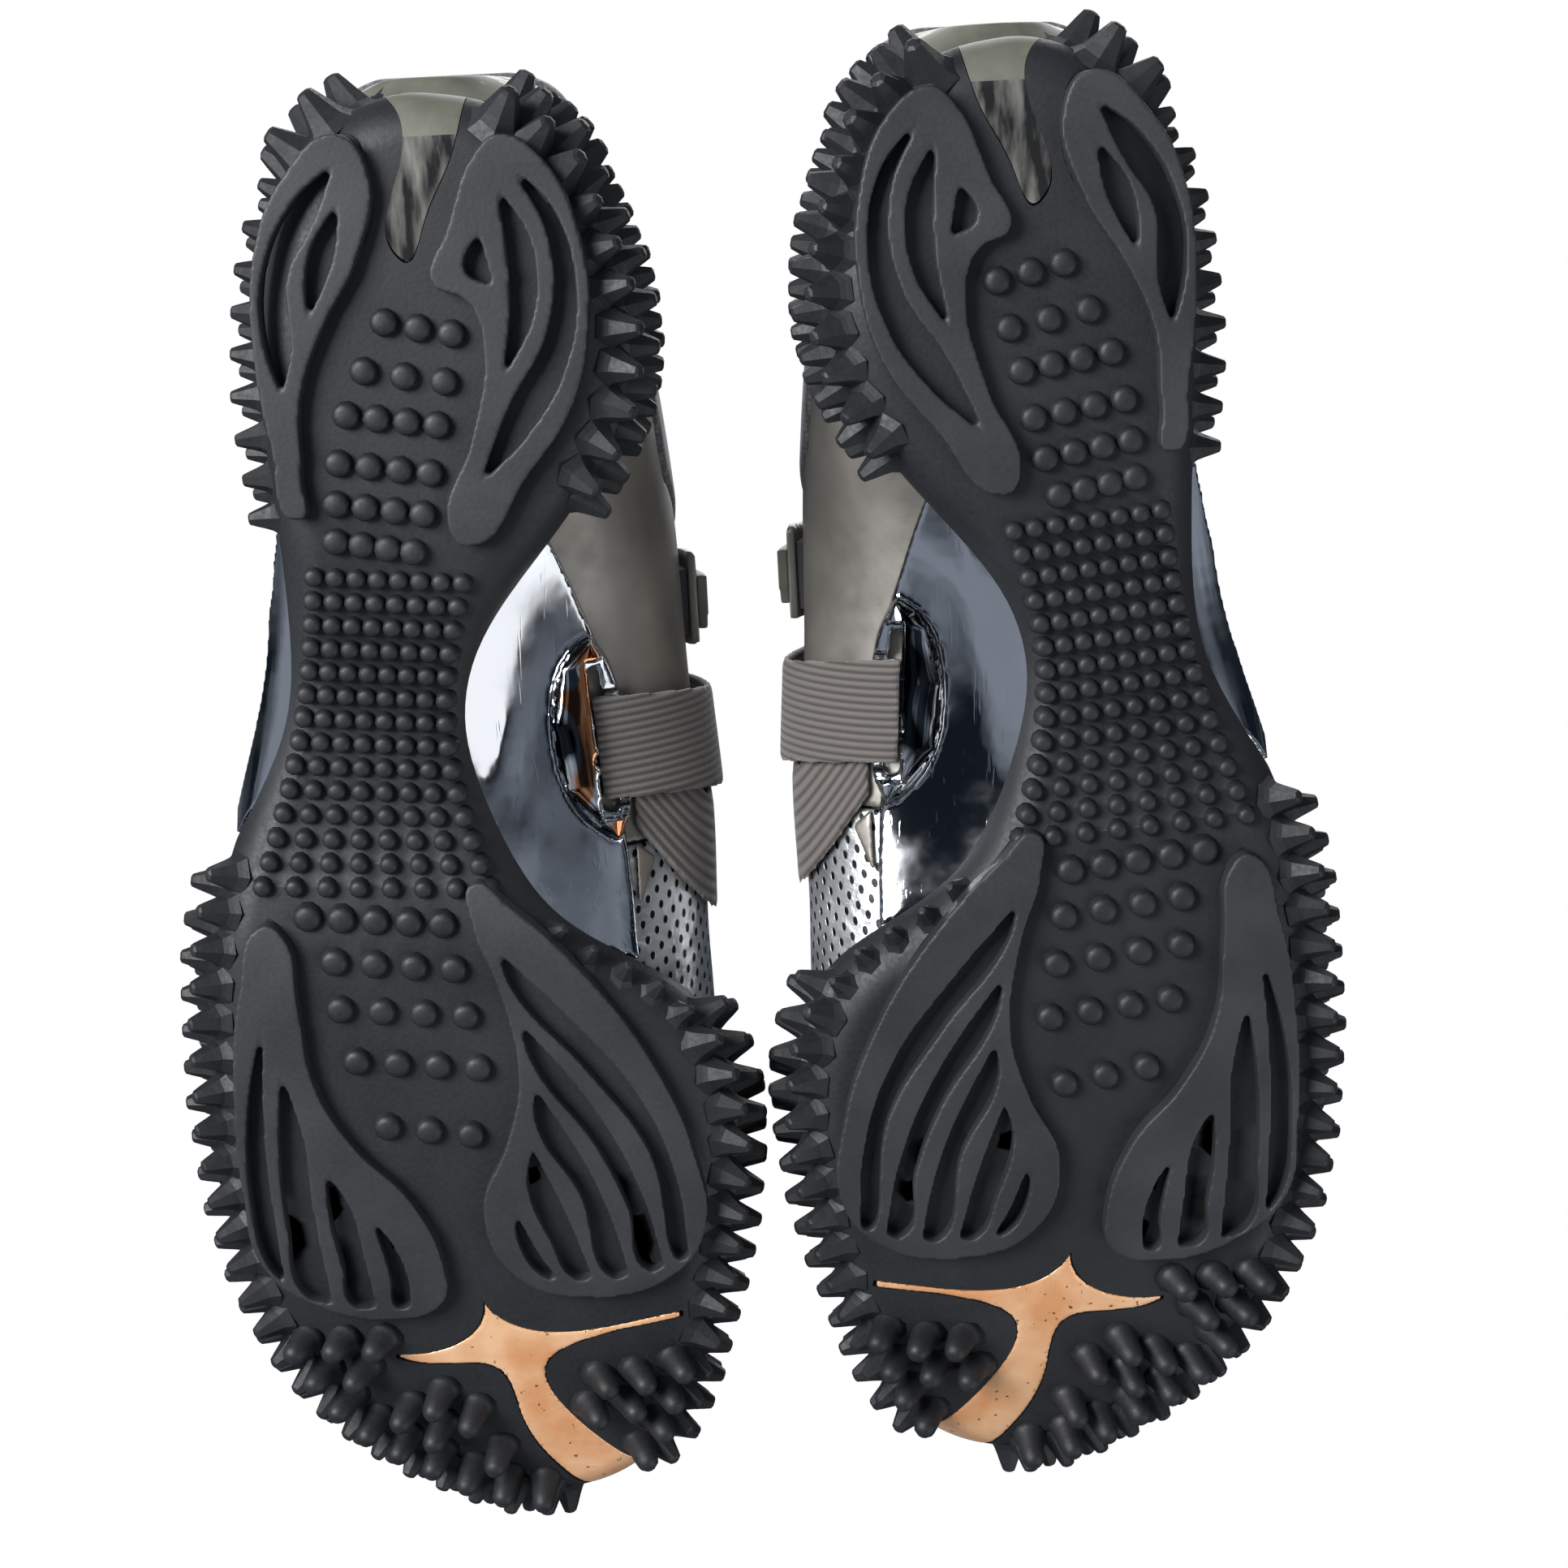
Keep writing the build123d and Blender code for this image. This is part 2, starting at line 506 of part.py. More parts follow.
# Round nubs: rows across the heel, the waist and the forefoot, as (y, first x, last x, count, radius).
nub_rows = [
    (41.0, -5.0, 7.0, 3, HEEL_NUB), (49.5, -9.5, 5.0, 3, HEEL_NUB), (57.3, -13.4, 3.0, 4, HEEL_NUB),
    (66.0, -15.7, 1.0, 4, HEEL_NUB), (73.5, -16.8, -1.0, 4, HEEL_NUB), (80.5, -17.6, -3.5, 4, HEEL_NUB),
]
WAIST_ROWS = 14
for step in range(WAIST_ROWS):
    share = step / (WAIST_ROWS - 1)
    middle = math.sin(math.pi * share)
    nub_rows.append((87 + 60 * share, -22.5 - 16 * share + 2 * middle, 5 - 6 * middle, 8, WAIST_NUB))
nub_rows += [
    (153.3, -30.2, -4.3, 5, BALL_NUB), (162.3, -25.7, -2.8, 4, BALL_NUB), (172.0, -25.5, -1.2, 4, BALL_NUB),
    (183.0, -23.3, 0.3, 4, BALL_NUB), (197.0, -18.5, -2.2, 3, BALL_NUB),
]
nub_places = []
for y, first, last, count, radius in nub_rows:
    for number in range(count):
        x = first + (last - first) * number / (count - 1)
        drift = ROW_DRIFT * (number / (count - 1) - 0.5)
        nub_places.append((x, y + drift, radius))

with BuildPart() as outsole:
    add(OUTER_BLOCK)
    keep_below_wall_top(0)
    add(INNER_BLOCK, mode=Mode.SUBTRACT)
    extrude(plan_of_notch(0), amount=SKY, mode=Mode.SUBTRACT)
    extrude(plan_of_t(0), amount=SKY, mode=Mode.SUBTRACT)
    add(lugs.part)
    for radius in (HEEL_NUB, WAIST_NUB, BALL_NUB):
        with Locations(*[
            Location((x, y, tread_height(y) - NUB_HEIGHT)) for x, y, size in nub_places if size == radius
        ]):
            Cone(0.6 * radius, radius, NUB_HEIGHT + NUB_SINK, align=(Align.CENTER, Align.CENTER, Align.MIN))

with BuildPart() as toe_plate:
    extrude(plan_of_t(WINDOW_FIT), amount=SKY)
    add(OUTER_BLOCK, mode=Mode.INTERSECT)
    add(INNER_BLOCK, mode=Mode.SUBTRACT)
    keep_below_wall_top(0)

with BuildPart() as heel_window:
    extrude(plan_of_notch(WINDOW_FIT), amount=HEEL_CLIP_LOW - FIT)
    add(OUTER_BLOCK, mode=Mode.INTERSECT)
    add(INNER_BLOCK, mode=Mode.SUBTRACT)

# ---- Inside the rubber ----
with BuildPart() as heel_midsole:
    side_slice(BACK, HEEL_FILLING_END, 0, SKY)
    add(FILLING_BLOCK, mode=Mode.INTERSECT)
    keep_below_wall_top(FILLING_DROP)
    add(FORMS[MIDSOLE_CLEAR], mode=Mode.SUBTRACT)

with BuildPart() as forefoot_midsole:
    side_slice(BALL_FILLING_START, FRONT, 0, SKY)
    add(FILLING_BLOCK, mode=Mode.INTERSECT)
    keep_below_wall_top(FILLING_DROP)
    add(FORMS[MIDSOLE_CLEAR], mode=Mode.SUBTRACT)

with BuildPart() as outer_flare:
    side_block(OUTER_FLARE, -SPAN, FLARE_INNER)
    add(FORMS[FLARE], mode=Mode.INTERSECT)

with BuildPart() as loop_boss:
    extrude(plan_of_boss(), amount=BAND_SIDE_TOP)
    plan_block(BOSS_NOTCH, BAND_SIDE_TOP, mode=Mode.SUBTRACT)
    add(FORMS[BOSS], mode=Mode.INTERSECT)

with BuildPart() as shank_plate:
    side_block(OUTER_WING, -SPAN, 0)
    extrude(plan_of_wing(), amount=BAND_SIDE_TOP)
    extrude(plan_of_boss(), amount=BAND_SIDE_TOP)
    add(FORMS[SHANK[1]], mode=Mode.INTERSECT)
    add(outer_flare.part)
    add(loop_boss.part)
    add(FORMS[SHANK[0]], mode=Mode.SUBTRACT)
    plan_block(LOOP_SLOT, BAND_SIDE_TOP, mode=Mode.SUBTRACT)

# ---- Upper ----
QUARTER = [
    (HEEL_CLIP_FRONT + FIT, 0), (HEEL_CLIP_FRONT + FIT, HEEL_CLIP_TOP + FIT), (BACK, HEEL_CLIP_TOP + FIT),
    (BACK, SKY), (VAMP_EDGE[2][0] - FIT, SKY), (VAMP_EDGE[1][0] - FIT, VAMP_EDGE[1][1]),
    (VAMP_EDGE[0][0] - FIT, 0),
]
with BuildPart() as inner_quarter:
    side_block(QUARTER, FIT / 2, SPAN)
    keep_layer(UPPER)
    clear_above_topline(COLLAR_BAND + FIT)
    cut_top_window(THROAT, 0)

with BuildPart() as outer_quarter:
    side_block(QUARTER, -SPAN, -FIT / 2)
    keep_layer(UPPER)
    clear_above_topline(COLLAR_BAND + FIT)
    cut_top_window(THROAT, 0)

with BuildPart() as vamp:
    side_block(VAMP_EDGE + [(FRONT, SKY), (FRONT, -5)], -SPAN, SPAN)
    keep_layer(UPPER)
    cut_top_window(THROAT, 0)

with BuildPart() as heel_clip:
    side_slice(BACK, HEEL_CLIP_FRONT, HEEL_WALL + FIT, HEEL_CLIP_TOP)
    side_slice(BACK, HEEL_CLIP_FRONT, HEEL_CLIP_LOW, HEEL_WALL + FIT, NOTCH[1][0] + FIT, NOTCH[5][0] - FIT)
    keep_layer(UPPER)

with BuildPart() as collar:
    side_slice(BACK, COLLAR_FRONT, 0, SKY)
    keep_layer(COLLAR)
    clear_above_topline(0)
    extrude(below_topline(COLLAR_BAND), amount=SPAN, both=True, mode=Mode.SUBTRACT)
    cut_top_window(TONGUE_BLOCK, FIT)

with BuildPart() as lining:
    add(FORMS[LINING[1]])
    add(FORMS[LINING[0]], mode=Mode.SUBTRACT)
    clear_above_topline(COLLAR_BAND + FIT)
    cut_top_window(TONGUE_BLOCK, FIT)

with BuildPart() as heel_stiffener:
    side_slice(*COUNTER_BLOCK)
    keep_layer(STIFFENER)
    clear_above_topline(COLLAR_BAND + FIT)

with BuildPart() as toe_puff:
    side_slice(*TOE_PUFF_BLOCK)
    keep_layer(STIFFENER)

with BuildPart() as tongue:
    y_from, y_to, mid, half, low = TONGUE_BLOCK
    side_slice(y_from, y_to, low, SKY, mid - half, mid + half)
    keep_layer(TONGUE)

# ---- Footbed ----
with BuildPart() as insole_board:
    extrude(footbed_strip(-BOARD_DEPTH, BOARD), amount=SPAN, both=True)
    add(FORMS[SOCK_GROW], mode=Mode.INTERSECT)

with BuildPart() as sock_liner:
    extrude(footbed_strip(BOARD + FIT, BOARD + FIT + SOCK), amount=SPAN, both=True)
    add(FORMS[SOCK_GROW], mode=Mode.INTERSECT)

# ---- Straps and bands ----
turn_low, turn_high = BAND_TURN
BAND_SIDE = [
    (BAND_BACK - BAND_SETBACK, turn_low), (BAND_BACK + BAND_WIDTH - BAND_SETBACK, turn_low),
    (BAND_BACK + BAND_WIDTH, turn_high), (BAND_BACK + BAND_WIDTH, SKY), (BAND_BACK, SKY), (BAND_BACK, turn_high),
]
with BuildPart() as band_root:
    side_block(BAND_SIDE, 0, SPAN)
    plan_block(BAND_PLAN, BAND_SIDE_TOP, mode=Mode.INTERSECT)

with BuildPart() as band_end:
    side_block(BAND_SIDE, 0, SPAN)
    plan_block(BAND_END_PLAN, BAND_SIDE_TOP, mode=Mode.INTERSECT)
    keep_layer(BAND_END)

with BuildPart() as instep_band:
    side_block(BAND_SIDE, 0, SPAN)
    side_slice(BACK, FRONT, 0, BAND_SIDE_TOP, mode=Mode.SUBTRACT)
    add(band_root.part)
    side_slice(BAND_BACK, BAND_BACK + BAND_WIDTH, OUTER_END, SKY, -SPAN, 0)
    keep_layer(UPPER_BAND)
    add(band_end.part)

with BuildPart() as vamp_band:
    plan_block(LOWER_BAND_OVER, SKY)
    side_slice(BACK, FRONT, 0, LOWER_BAND_TOP, 0, SPAN, mode=Mode.SUBTRACT)
    side_slice(BACK, FRONT, 0, OUTER_END, -SPAN, 0, mode=Mode.SUBTRACT)
    plan_block(LOWER_BAND_SIDE, LOWER_BAND_TOP)
    keep_layer(LOWER_BAND)

with BuildPart() as band_anchor:
    side_slice(*ANCHOR_BLOCK, -SPAN, 0)
    keep_layer((UPPER_CLEAR, SHANK_CLEAR))

with BuildPart() as ankle_strap:
    side_block([
        (STRAP_BACK, STRAP_INNER_END), (STRAP_BACK + STRAP_WIDTH, STRAP_INNER_END),
        (STRAP_BACK + STRAP_WIDTH + STRAP_LEAN, SKY), (STRAP_BACK + STRAP_LEAN, SKY),
    ], -SPAN, SPAN)
    side_slice(BACK, FRONT, 0, STRAP_HINGE_Z + HINGE_GAP / 2, -SPAN, 0, mode=Mode.SUBTRACT)
    keep_layer(STRAP)

with BuildPart() as strap_anchor:
    side_slice(
        STRAP_BACK, STRAP_BACK + STRAP_WIDTH, STRAP_ANCHOR_LOW, STRAP_HINGE_Z - HINGE_GAP / 2, -SPAN, 0
    )
    keep_layer((UPPER_CLEAR, STRAP[1]))

with BuildPart() as strap_tip:
    side_slice(*TIP_BLOCK, 0, SPAN)
    keep_layer(STRAP_TIP)

with BuildPart() as hook_patch:
    side_slice(*PATCH_BLOCK, 0, SPAN)
    keep_layer(PATCH)

with BuildPart() as vamp_tab:
    plan_block(TAB_PLAN, BAND_SIDE_TOP)
    keep_layer(TAB)

# ---- Rim studs ----
def stud_place(share, angle, lift):
    """Where a stud stands on the rim: on the rounding or the wall, square to the surface."""
    centre, out = rim_point(share, EDGE_ROUND)
    axis = out * math.sin(math.radians(angle)) - Vector(0, 0, 1) * math.cos(math.radians(angle))
    height = tread_height(centre.Y) + EDGE_ROUND + lift
    root = Vector(centre.X, centre.Y, height) + axis * (EDGE_ROUND - STUD_SINK)
    return Plane(origin=root, z_dir=axis)


def stud_places():
    """All the rim studs of the heel, and all those of the forefoot, where the wall is high enough."""
    heel, forefoot = [], []
    count = round(RIM.length / STUD_PITCH)
    for angle, lift, phase in STUD_ROWS:
        for number in range(count):
            place = stud_place((number + phase) / count, angle, lift)
            x, y, z = place.origin
            rise = INNER_RISE if x > 0 else OUTER_RISE
            if z + STUD_RADIUS > wall_top(y, rise):
                continue
            if y < HEEL_STUDS_END:
                if y > NOTCH_CLEAR or abs(x - NOTCH[3][0] - 5) > NOTCH_CLEAR:
                    heel.append(place)
            elif abs(x - T_OUTER_STEM[0][0]) > T_CLEAR or y < T_INNER_STEM[3][1]:
                forefoot.append(place)
    return heel, forefoot


heel_places, forefoot_places = stud_places()
with BuildPart() as heel_studs:
    with Locations(*heel_places):
        Cone(STUD_RADIUS, STUD_TIP, STUD_LENGTH + STUD_SINK, align=(Align.CENTER, Align.CENTER, Align.MIN))

with BuildPart() as forefoot_studs:
    with Locations(*forefoot_places):
        Cone(STUD_RADIUS, STUD_TIP, STUD_LENGTH + STUD_SINK, align=(Align.CENTER, Align.CENTER, Align.MIN))

# ---- Both shoes, placed as a pair ----
PIECES = {
    "outsole": outsole, "toe_plate": toe_plate, "heel_window": heel_window, "heel_studs": heel_studs,
    "forefoot_studs": forefoot_studs, "heel_midsole": heel_midsole, "forefoot_midsole": forefoot_midsole,
    "shank_plate": shank_plate, "insole_board": insole_board, "sock_liner": sock_liner, "lining": lining,
    "heel_stiffener": heel_stiffener, "toe_puff": toe_puff, "heel_clip": heel_clip,
    "inner_quarter": inner_quarter, "outer_quarter": outer_quarter, "vamp": vamp, "collar": collar,
    "tongue": tongue, "instep_band": instep_band, "vamp_band": vamp_band, "band_anchor": band_anchor,
    "ankle_strap": ankle_strap, "strap_anchor": strap_anchor, "strap_tip": strap_tip,
    "hook_patch": hook_patch, "vamp_tab": vamp_tab,
}
os.makedirs("parts", exist_ok=True)
for name, piece in PIECES.items():
    left = Location((-SHOE_SPACING / 2, STAGGER / 2 - PAIR_CENTRE_Y, 0)) * piece.part
    left.label = f"left_{name}"
    export_step(left, f"parts/left_{name}.step", write_pcurves=False)
    right = Location((0, -STAGGER, 0)) * mirror(left, about=Plane.YZ)
    right.label = f"right_{name}"
    export_step(right, f"parts/right_{name}.step", write_pcurves=False)
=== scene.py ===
"""Dresses the CAD model of a pair of low strap shoes with a spiked rubber outsole: every visible surface,
the spikes, the sewn panels, the bands and the materials."""

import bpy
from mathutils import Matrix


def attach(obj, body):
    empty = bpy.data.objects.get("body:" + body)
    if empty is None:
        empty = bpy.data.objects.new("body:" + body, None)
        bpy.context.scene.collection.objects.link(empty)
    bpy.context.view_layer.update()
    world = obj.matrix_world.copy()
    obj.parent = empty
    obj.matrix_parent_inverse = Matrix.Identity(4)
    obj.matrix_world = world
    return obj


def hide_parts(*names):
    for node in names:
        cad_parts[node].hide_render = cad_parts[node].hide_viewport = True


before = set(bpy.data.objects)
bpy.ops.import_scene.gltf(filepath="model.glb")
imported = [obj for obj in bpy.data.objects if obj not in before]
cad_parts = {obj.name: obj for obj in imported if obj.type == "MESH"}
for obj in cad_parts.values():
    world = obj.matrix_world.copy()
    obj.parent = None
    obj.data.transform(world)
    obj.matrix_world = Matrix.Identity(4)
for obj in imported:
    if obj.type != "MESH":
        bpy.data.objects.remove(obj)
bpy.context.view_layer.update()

import math
import random

import bmesh
import bpy
from bpy.props import FloatProperty, IntProperty, PointerProperty
from mathutils import Matrix, Vector
from mathutils.bvhtree import BVHTree

bl_info = {
    "name": "Spiked strap shoes",
    "version": (1, 0, 0),
    "blender": (4, 5, 0),
    "location": "3D View > Sidebar > Shoes",
    "description": "Dresses a pair of strap shoes with a lugged, spiked rubber outsole",
    "category": "Object",
}

MM = 0.001
SIDES = ("left", "right")

# The outsole's outline in a shoe's own millimetres: X to the big toe side, Y from heel to toe.
SOLE_OUTLINE = [
    (5, 0), (-14, 6), (-25.5, 24), (-30.5, 55), (-29.8, 86), (-34.5, 115), (-46.5, 143), (-53, 180),
    (-51.5, 222), (-39, 257), (-17, 278.5), (9, 288), (27, 280.5), (39, 257), (47.5, 224), (49.5, 194),
    (40, 173), (18, 157), (6.5, 133), (7, 103), (24, 79), (38, 52), (35, 26), (22, 6),
]


# Where the heel's notch stands across a shoe.
NOTCH_MIDDLE = 5.0

# The lugs, each a smooth closed outline, and the slots in each one.
LUGS = {
    "heel_outer": [
        (-10, 6.5), (-20.5, 13.7), (-27, 27), (-28.6, 45), (-27.2, 61), (-23.6, 74.5), (-22.2, 66),
        (-20.9, 52), (-15.5, 39.5), (-9, 29), (-5.2, 13),
    ],
    "heel_inner": [
        (18.3, 7.8), (26, 12.5), (31.6, 26), (32.2, 41), (28.5, 55.5), (19, 68.5), (7, 81), (3.8, 77.5),
        (9.5, 61), (12.9, 44), (10.5, 36.5), (4.6, 33), (8, 24), (14.3, 10.5),
    ],
    "ball_outer": [
        (-38.5, 152.5), (-44.2, 165.4), (-47.4, 184), (-48, 207), (-46, 223.5), (-38, 232), (-20, 237.4),
        (-10.8, 234), (-9.8, 226), (-15, 211), (-25, 199), (-31.5, 186), (-33.3, 168), (-34.7, 155),
    ],
    "ball_inner": [
        (2.2, 146.5), (1.6, 154), (5.7, 167), (8.3, 186), (5, 199.5), (-0.9, 214), (4.5, 229), (18, 234.4),
        (36, 230.3), (43, 220), (41.6, 203), (35.6, 186), (24, 167), (9, 151),
    ],
}
# Each slot: its right and left sides, from the heel end to the toe end.
SLOTS = {
    "heel_outer": [
        ([(-10.9, 11.5), (-16, 22), (-21.3, 31), (-21.8, 43), (-24.3, 52)],
         [(-26.6, 42), (-25.6, 30), (-19, 17.8)]),
        ([(-10.8, 18), (-12.8, 28), (-18.5, 39)], [(-17, 27)]),
    ],
    "heel_inner": [
        ([(20, 13), (26, 26), (24.8, 42), (16.5, 56), (10.2, 69.5)],
         [(20, 60.5), (27.4, 49), (30.2, 35), (27.3, 21.5)]),
        ([(17.6, 17), (18.4, 36), (16, 50.5)], [(22.4, 39), (22.8, 27)]),
        ([(13.6, 24.5), (15.4, 34)], [(10.6, 31)]),
    ],
    "ball_outer": [
        ([(-40.2, 171), (-42.3, 191), (-42.5, 210), (-41.8, 228)], [(-45, 223), (-46.6, 210), (-45.2, 190)]),
        ([(-38, 182), (-35, 196.4), (-34.5, 212), (-32.9, 233)], [(-38.2, 230.6), (-40, 216), (-40, 200)]),
        ([(-31.4, 204), (-27.6, 210.5), (-25.4, 224), (-24.2, 234.4)],
         [(-29, 233.4), (-30, 225), (-31.4, 214)]),
        ([(-23.3, 214), (-19.2, 221), (-17.2, 229), (-17.4, 234.4)],
         [(-20, 234.6), (-20.6, 228), (-21.5, 222)]),
    ],
    "ball_inner": [
        ([(6.4, 160), (19.3, 174.5), (32, 192), (38, 210), (39.2, 226)],
         [(37.4, 227), (33, 203), (22, 185.3), (8.5, 167.5)]),
        ([(9.1, 174), (22.4, 193), (30.5, 211), (34.2, 228)],
         [(31.2, 229), (28, 215), (22.5, 201), (11.5, 183.5)]),
        ([(11.2, 188), (20.3, 205.5), (24.6, 218), (27, 229.6)], [(23.8, 230.2), (18.6, 211), (11.2, 196.4)]),
        ([(9.9, 201), (15.6, 216), (19.6, 229.8)], [(16.6, 230.2), (12, 221), (8.4, 208.5)]),
        ([(5.3, 214), (9.4, 224), (12.8, 230)], [(9.9, 229), (5.8, 222)]),
    ],
}


# The lens-shaped boss round the band's slot in the plated shank: its sides and the slot's, in plan.
BOSS_INNER = [(26.5, 103.7), (20.6, 109), (18.3, 120), (20.2, 133), (29.8, 144)]
BOSS_OUTER = [(26.5, 103.7), (30.6, 112), (32.0, 125), (32.2, 139), (29.8, 144)]
SLOT_SIDE = [(25.0, 108.2), (25.7, 123.5), (26.7, 139.4)]

# Places along a shoe: ends of the level heel and the arch, and the start and radius of the toe spring.
HEEL_FLAT = 70.0
BALL_START = 166.0
SPRING_START = 205.0
SPRING_RADIUS = 270.0
ARCH_RISE = 5.5
TREAD_SLACK = 0.3

# Where the spikes stand: the heel's end, the forefoot's starts, and the studs beside the inner arch.
HEEL_END = 76
OUTER_START = 140
INNER_START = 176
ARCH_STUDS = 153
SMALL_STUDS = (150, 178)
# Between the heel's horns none stand, and those at the horns' corners are larger.
HORN_END = 14
HORN_HALF = 13.5
CORNER_END = 16
# The blunt toe spikes: their rows' distances from the rim, and where they start under the T and beside it.
FINGER_INSETS = (5.5, 12.5, 19.5, 26.5, 33.5, 40.5)
FINGER_START = 250
FINGER_SIDE_START = 243
FINGER_MIDDLE = (-24, 38)
# Spikes keep this far off the T plate, and are set from this far off the rubber, or nearer.
PLATE_GAP = 3.6
REACH = 20
# Rows of spikes, as (angle from straight down, height above the rounding, phase along the rim).
SPIKE_ROWS = ((50, 0.0, 0.0), (78, 0.8, 0.5), (90, 6.5, 0.0), (90, 12.5, 0.5))
# Rows that the heel's outer side lacks.
INNER_ROWS = (0, 3)


# ---------------------------------------------------------------- sizes and colours

class ShoeSettings(bpy.types.PropertyGroup):
    """Sizes of the pair and its pieces, in millimetres."""

    spacing: FloatProperty(name="Spacing", description="Between the two shoes' own frames", default=113.2)
    stagger: FloatProperty(name="Stagger", description="How far the left shoe stands ahead", default=4.5)
    centre: FloatProperty(name="Pair centre", description="Middle of the pair along a shoe", default=145.0)
    edge_round: FloatProperty(name="Sole rounding", description="Rounding under the rubber wall", default=9.0)
    lug_height: FloatProperty(name="Lug height", description="How far the lugs stand down", default=3.5)
    lug_root: FloatProperty(name="Lug root", description="How deep the lugs are rooted", default=1.5)
    lug_voxel: FloatProperty(name="Lug voxel", description="Grid of the lugs' remesh", default=0.5)
    nub_height: FloatProperty(name="Nub height", description="How far the nubs stand down", default=2.4)
    spike_radius: FloatProperty(name="Spike radius", description="Radius of a spike at its foot", default=3.7)
    spike_length: FloatProperty(name="Spike length", description="How far a spike stands out", default=6.2)
    spike_pitch: FloatProperty(name="Spike pitch", description="Between spikes along the rim", default=7.5)
    spike_sides: IntProperty(name="Spike sides", description="Facets round a spike", default=7, min=5)
    finger_radius: FloatProperty(name="Finger radius", description="Of the blunt toe spikes", default=2.9)
    finger_pitch: FloatProperty(name="Finger pitch", description="Between the toe spikes", default=7.6)
    plate_voxel: FloatProperty(name="Plate voxel", description="Grid of the T plates' remesh", default=0.35)
    boss_crown: FloatProperty(name="Boss crown", description="How far the shank's boss is domed", default=2.6)
    trim_voxel: FloatProperty(name="Trim voxel", description="Grid of the shanks' remesh", default=0.55)
    horn_height: FloatProperty(name="Horn height", description="Top of the heel's rubber horns", default=33.0)
    horn_gap: FloatProperty(name="Horn gap", description="Half the gap between the heel's horns", default=9.0)
    clip_lap: FloatProperty(name="Clip lap", description="How far the clip laps over the window", default=7.5)
    clip_top: FloatProperty(name="Clip top", description="Where the heel clip turns to leather", default=39.0)
    kept_faces: FloatProperty(name="Kept faces", description="Share of the panels' faces", default=0.4)
    floor_gap: FloatProperty(name="Floor gap", description="Of the toe spikes over the floor", default=0.5)
    voxel: FloatProperty(name="Panel voxel", description="Grid of the sewn panels' remesh", default=0.8)


def settings():
    return bpy.context.scene.shoe_settings


def side_matrix(side):
    """From a shoe's own millimetres to the pair's metres. The right shoe is the left one mirrored."""
    s = settings()
    if side == "left":
        place = Matrix.Translation((-s.spacing / 2, s.stagger / 2 - s.centre, 0))
    else:
        mirror = Matrix.Scale(-1, 4, (1, 0, 0))
        place = Matrix.Translation((s.spacing / 2, -s.stagger / 2 - s.centre, 0)) @ mirror
    return Matrix.Scale(MM, 4) @ place


# ---------------------------------------------------------------- small tools

def hex_colour(text):
    """sRGB hex to linear RGBA."""
    parts = [int(text[i:i + 2], 16) / 255 for i in (1, 3, 5)]
    return [c / 12.92 if c <= 0.04045 else ((c + 0.055) / 1.055) ** 2.4 for c in parts] + [1.0]


def add_node(tree, kind, inputs=None, **options):
    """Adds a node with its options; an input is a value, or the output that it is linked to."""
    node = tree.nodes.new(kind)
    for name, value in options.items():
        setattr(node, name, value)
    for name, value in (inputs or {}).items():
        if isinstance(value, bpy.types.NodeSocket):
            tree.links.new(value, node.inputs[name])
        else:
            node.inputs[name].default_value = value
    return node


def maths(tree, operation, *values):
    """The result of a math node over values or outputs."""
    return add_node(tree, "ShaderNodeMath", dict(enumerate(values)), operation=operation).outputs[0]


def new_material(name):
    """An empty material with its Principled shader; returns the material, its tree and the shader."""
    material = bpy.data.materials.new(name)
    material.use_nodes = True
    tree = material.node_tree
    return material, tree, tree.nodes["Principled BSDF"]


def two_tone(tree, factor, low, high):
    """Colour between two hex tones by a factor output."""
    mix = add_node(tree, "ShaderNodeMix", {"Factor": factor}, data_type="RGBA")
    mix.inputs[6].default_value = hex_colour(low)
    mix.inputs[7].default_value = hex_colour(high)
    return mix.outputs[2]


def spread(tree, value, low, high, out_low=0.0, out_high=1.0):
    """Value mapped from one range to another, clamped."""
    return add_node(
        tree, "ShaderNodeMapRange",
        {"Value": value, "From Min": low, "From Max": high, "To Min": out_low, "To Max": out_high},
    ).outputs["Result"]


def grain(tree, size_mm, detail=3.0, stretch=(1, 1, 1)):
    """Noise over Object coordinates whose features are about size_mm across."""
    coords = add_node(tree, "ShaderNodeTexCoord").outputs["Object"]
    mapped = add_node(tree, "ShaderNodeMapping", {"Vector": coords, "Scale": stretch}).outputs["Vector"]
    return add_node(
        tree, "ShaderNodeTexNoise", {"Vector": mapped, "Scale": 1 / (size_mm * MM), "Detail": detail}
    ).outputs["Fac"]


def bump(tree, shader, height, strength, depth_mm):
    """Links a height to the shader's normal, over a depth in millimetres."""
    node = add_node(
        tree, "ShaderNodeBump", {"Height": height, "Strength": strength, "Distance": depth_mm * MM}
    )
    tree.links.new(node.outputs["Normal"], shader.inputs["Normal"])


def merge(work):
    """Joins vertices that meet, and removes faces without area."""
    bmesh.ops.remove_doubles(work, verts=work.verts, dist=2e-6)
    bmesh.ops.dissolve_degenerate(work, dist=1e-6, edges=work.edges)


def node_mesh(node):
    """A merged copy of a CAD node's mesh, as a bmesh, in metres."""
    work = bmesh.new()
    work.from_mesh(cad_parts[node].data)
    merge(work)
    return work


def make_piece(name, work, body, materials, replaced=()):
    """Turns a bmesh in the pair's metres into a finished object that rides on a body."""
    mesh = bpy.data.meshes.new(name)
    work.to_mesh(mesh)
    work.free()
    piece = bpy.data.objects.new(name, mesh)
    bpy.context.scene.collection.objects.link(piece)
    for material in materials:
        mesh.materials.append(material)
    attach(piece, body)
    if replaced:
        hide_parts(*replaced)
    return piece


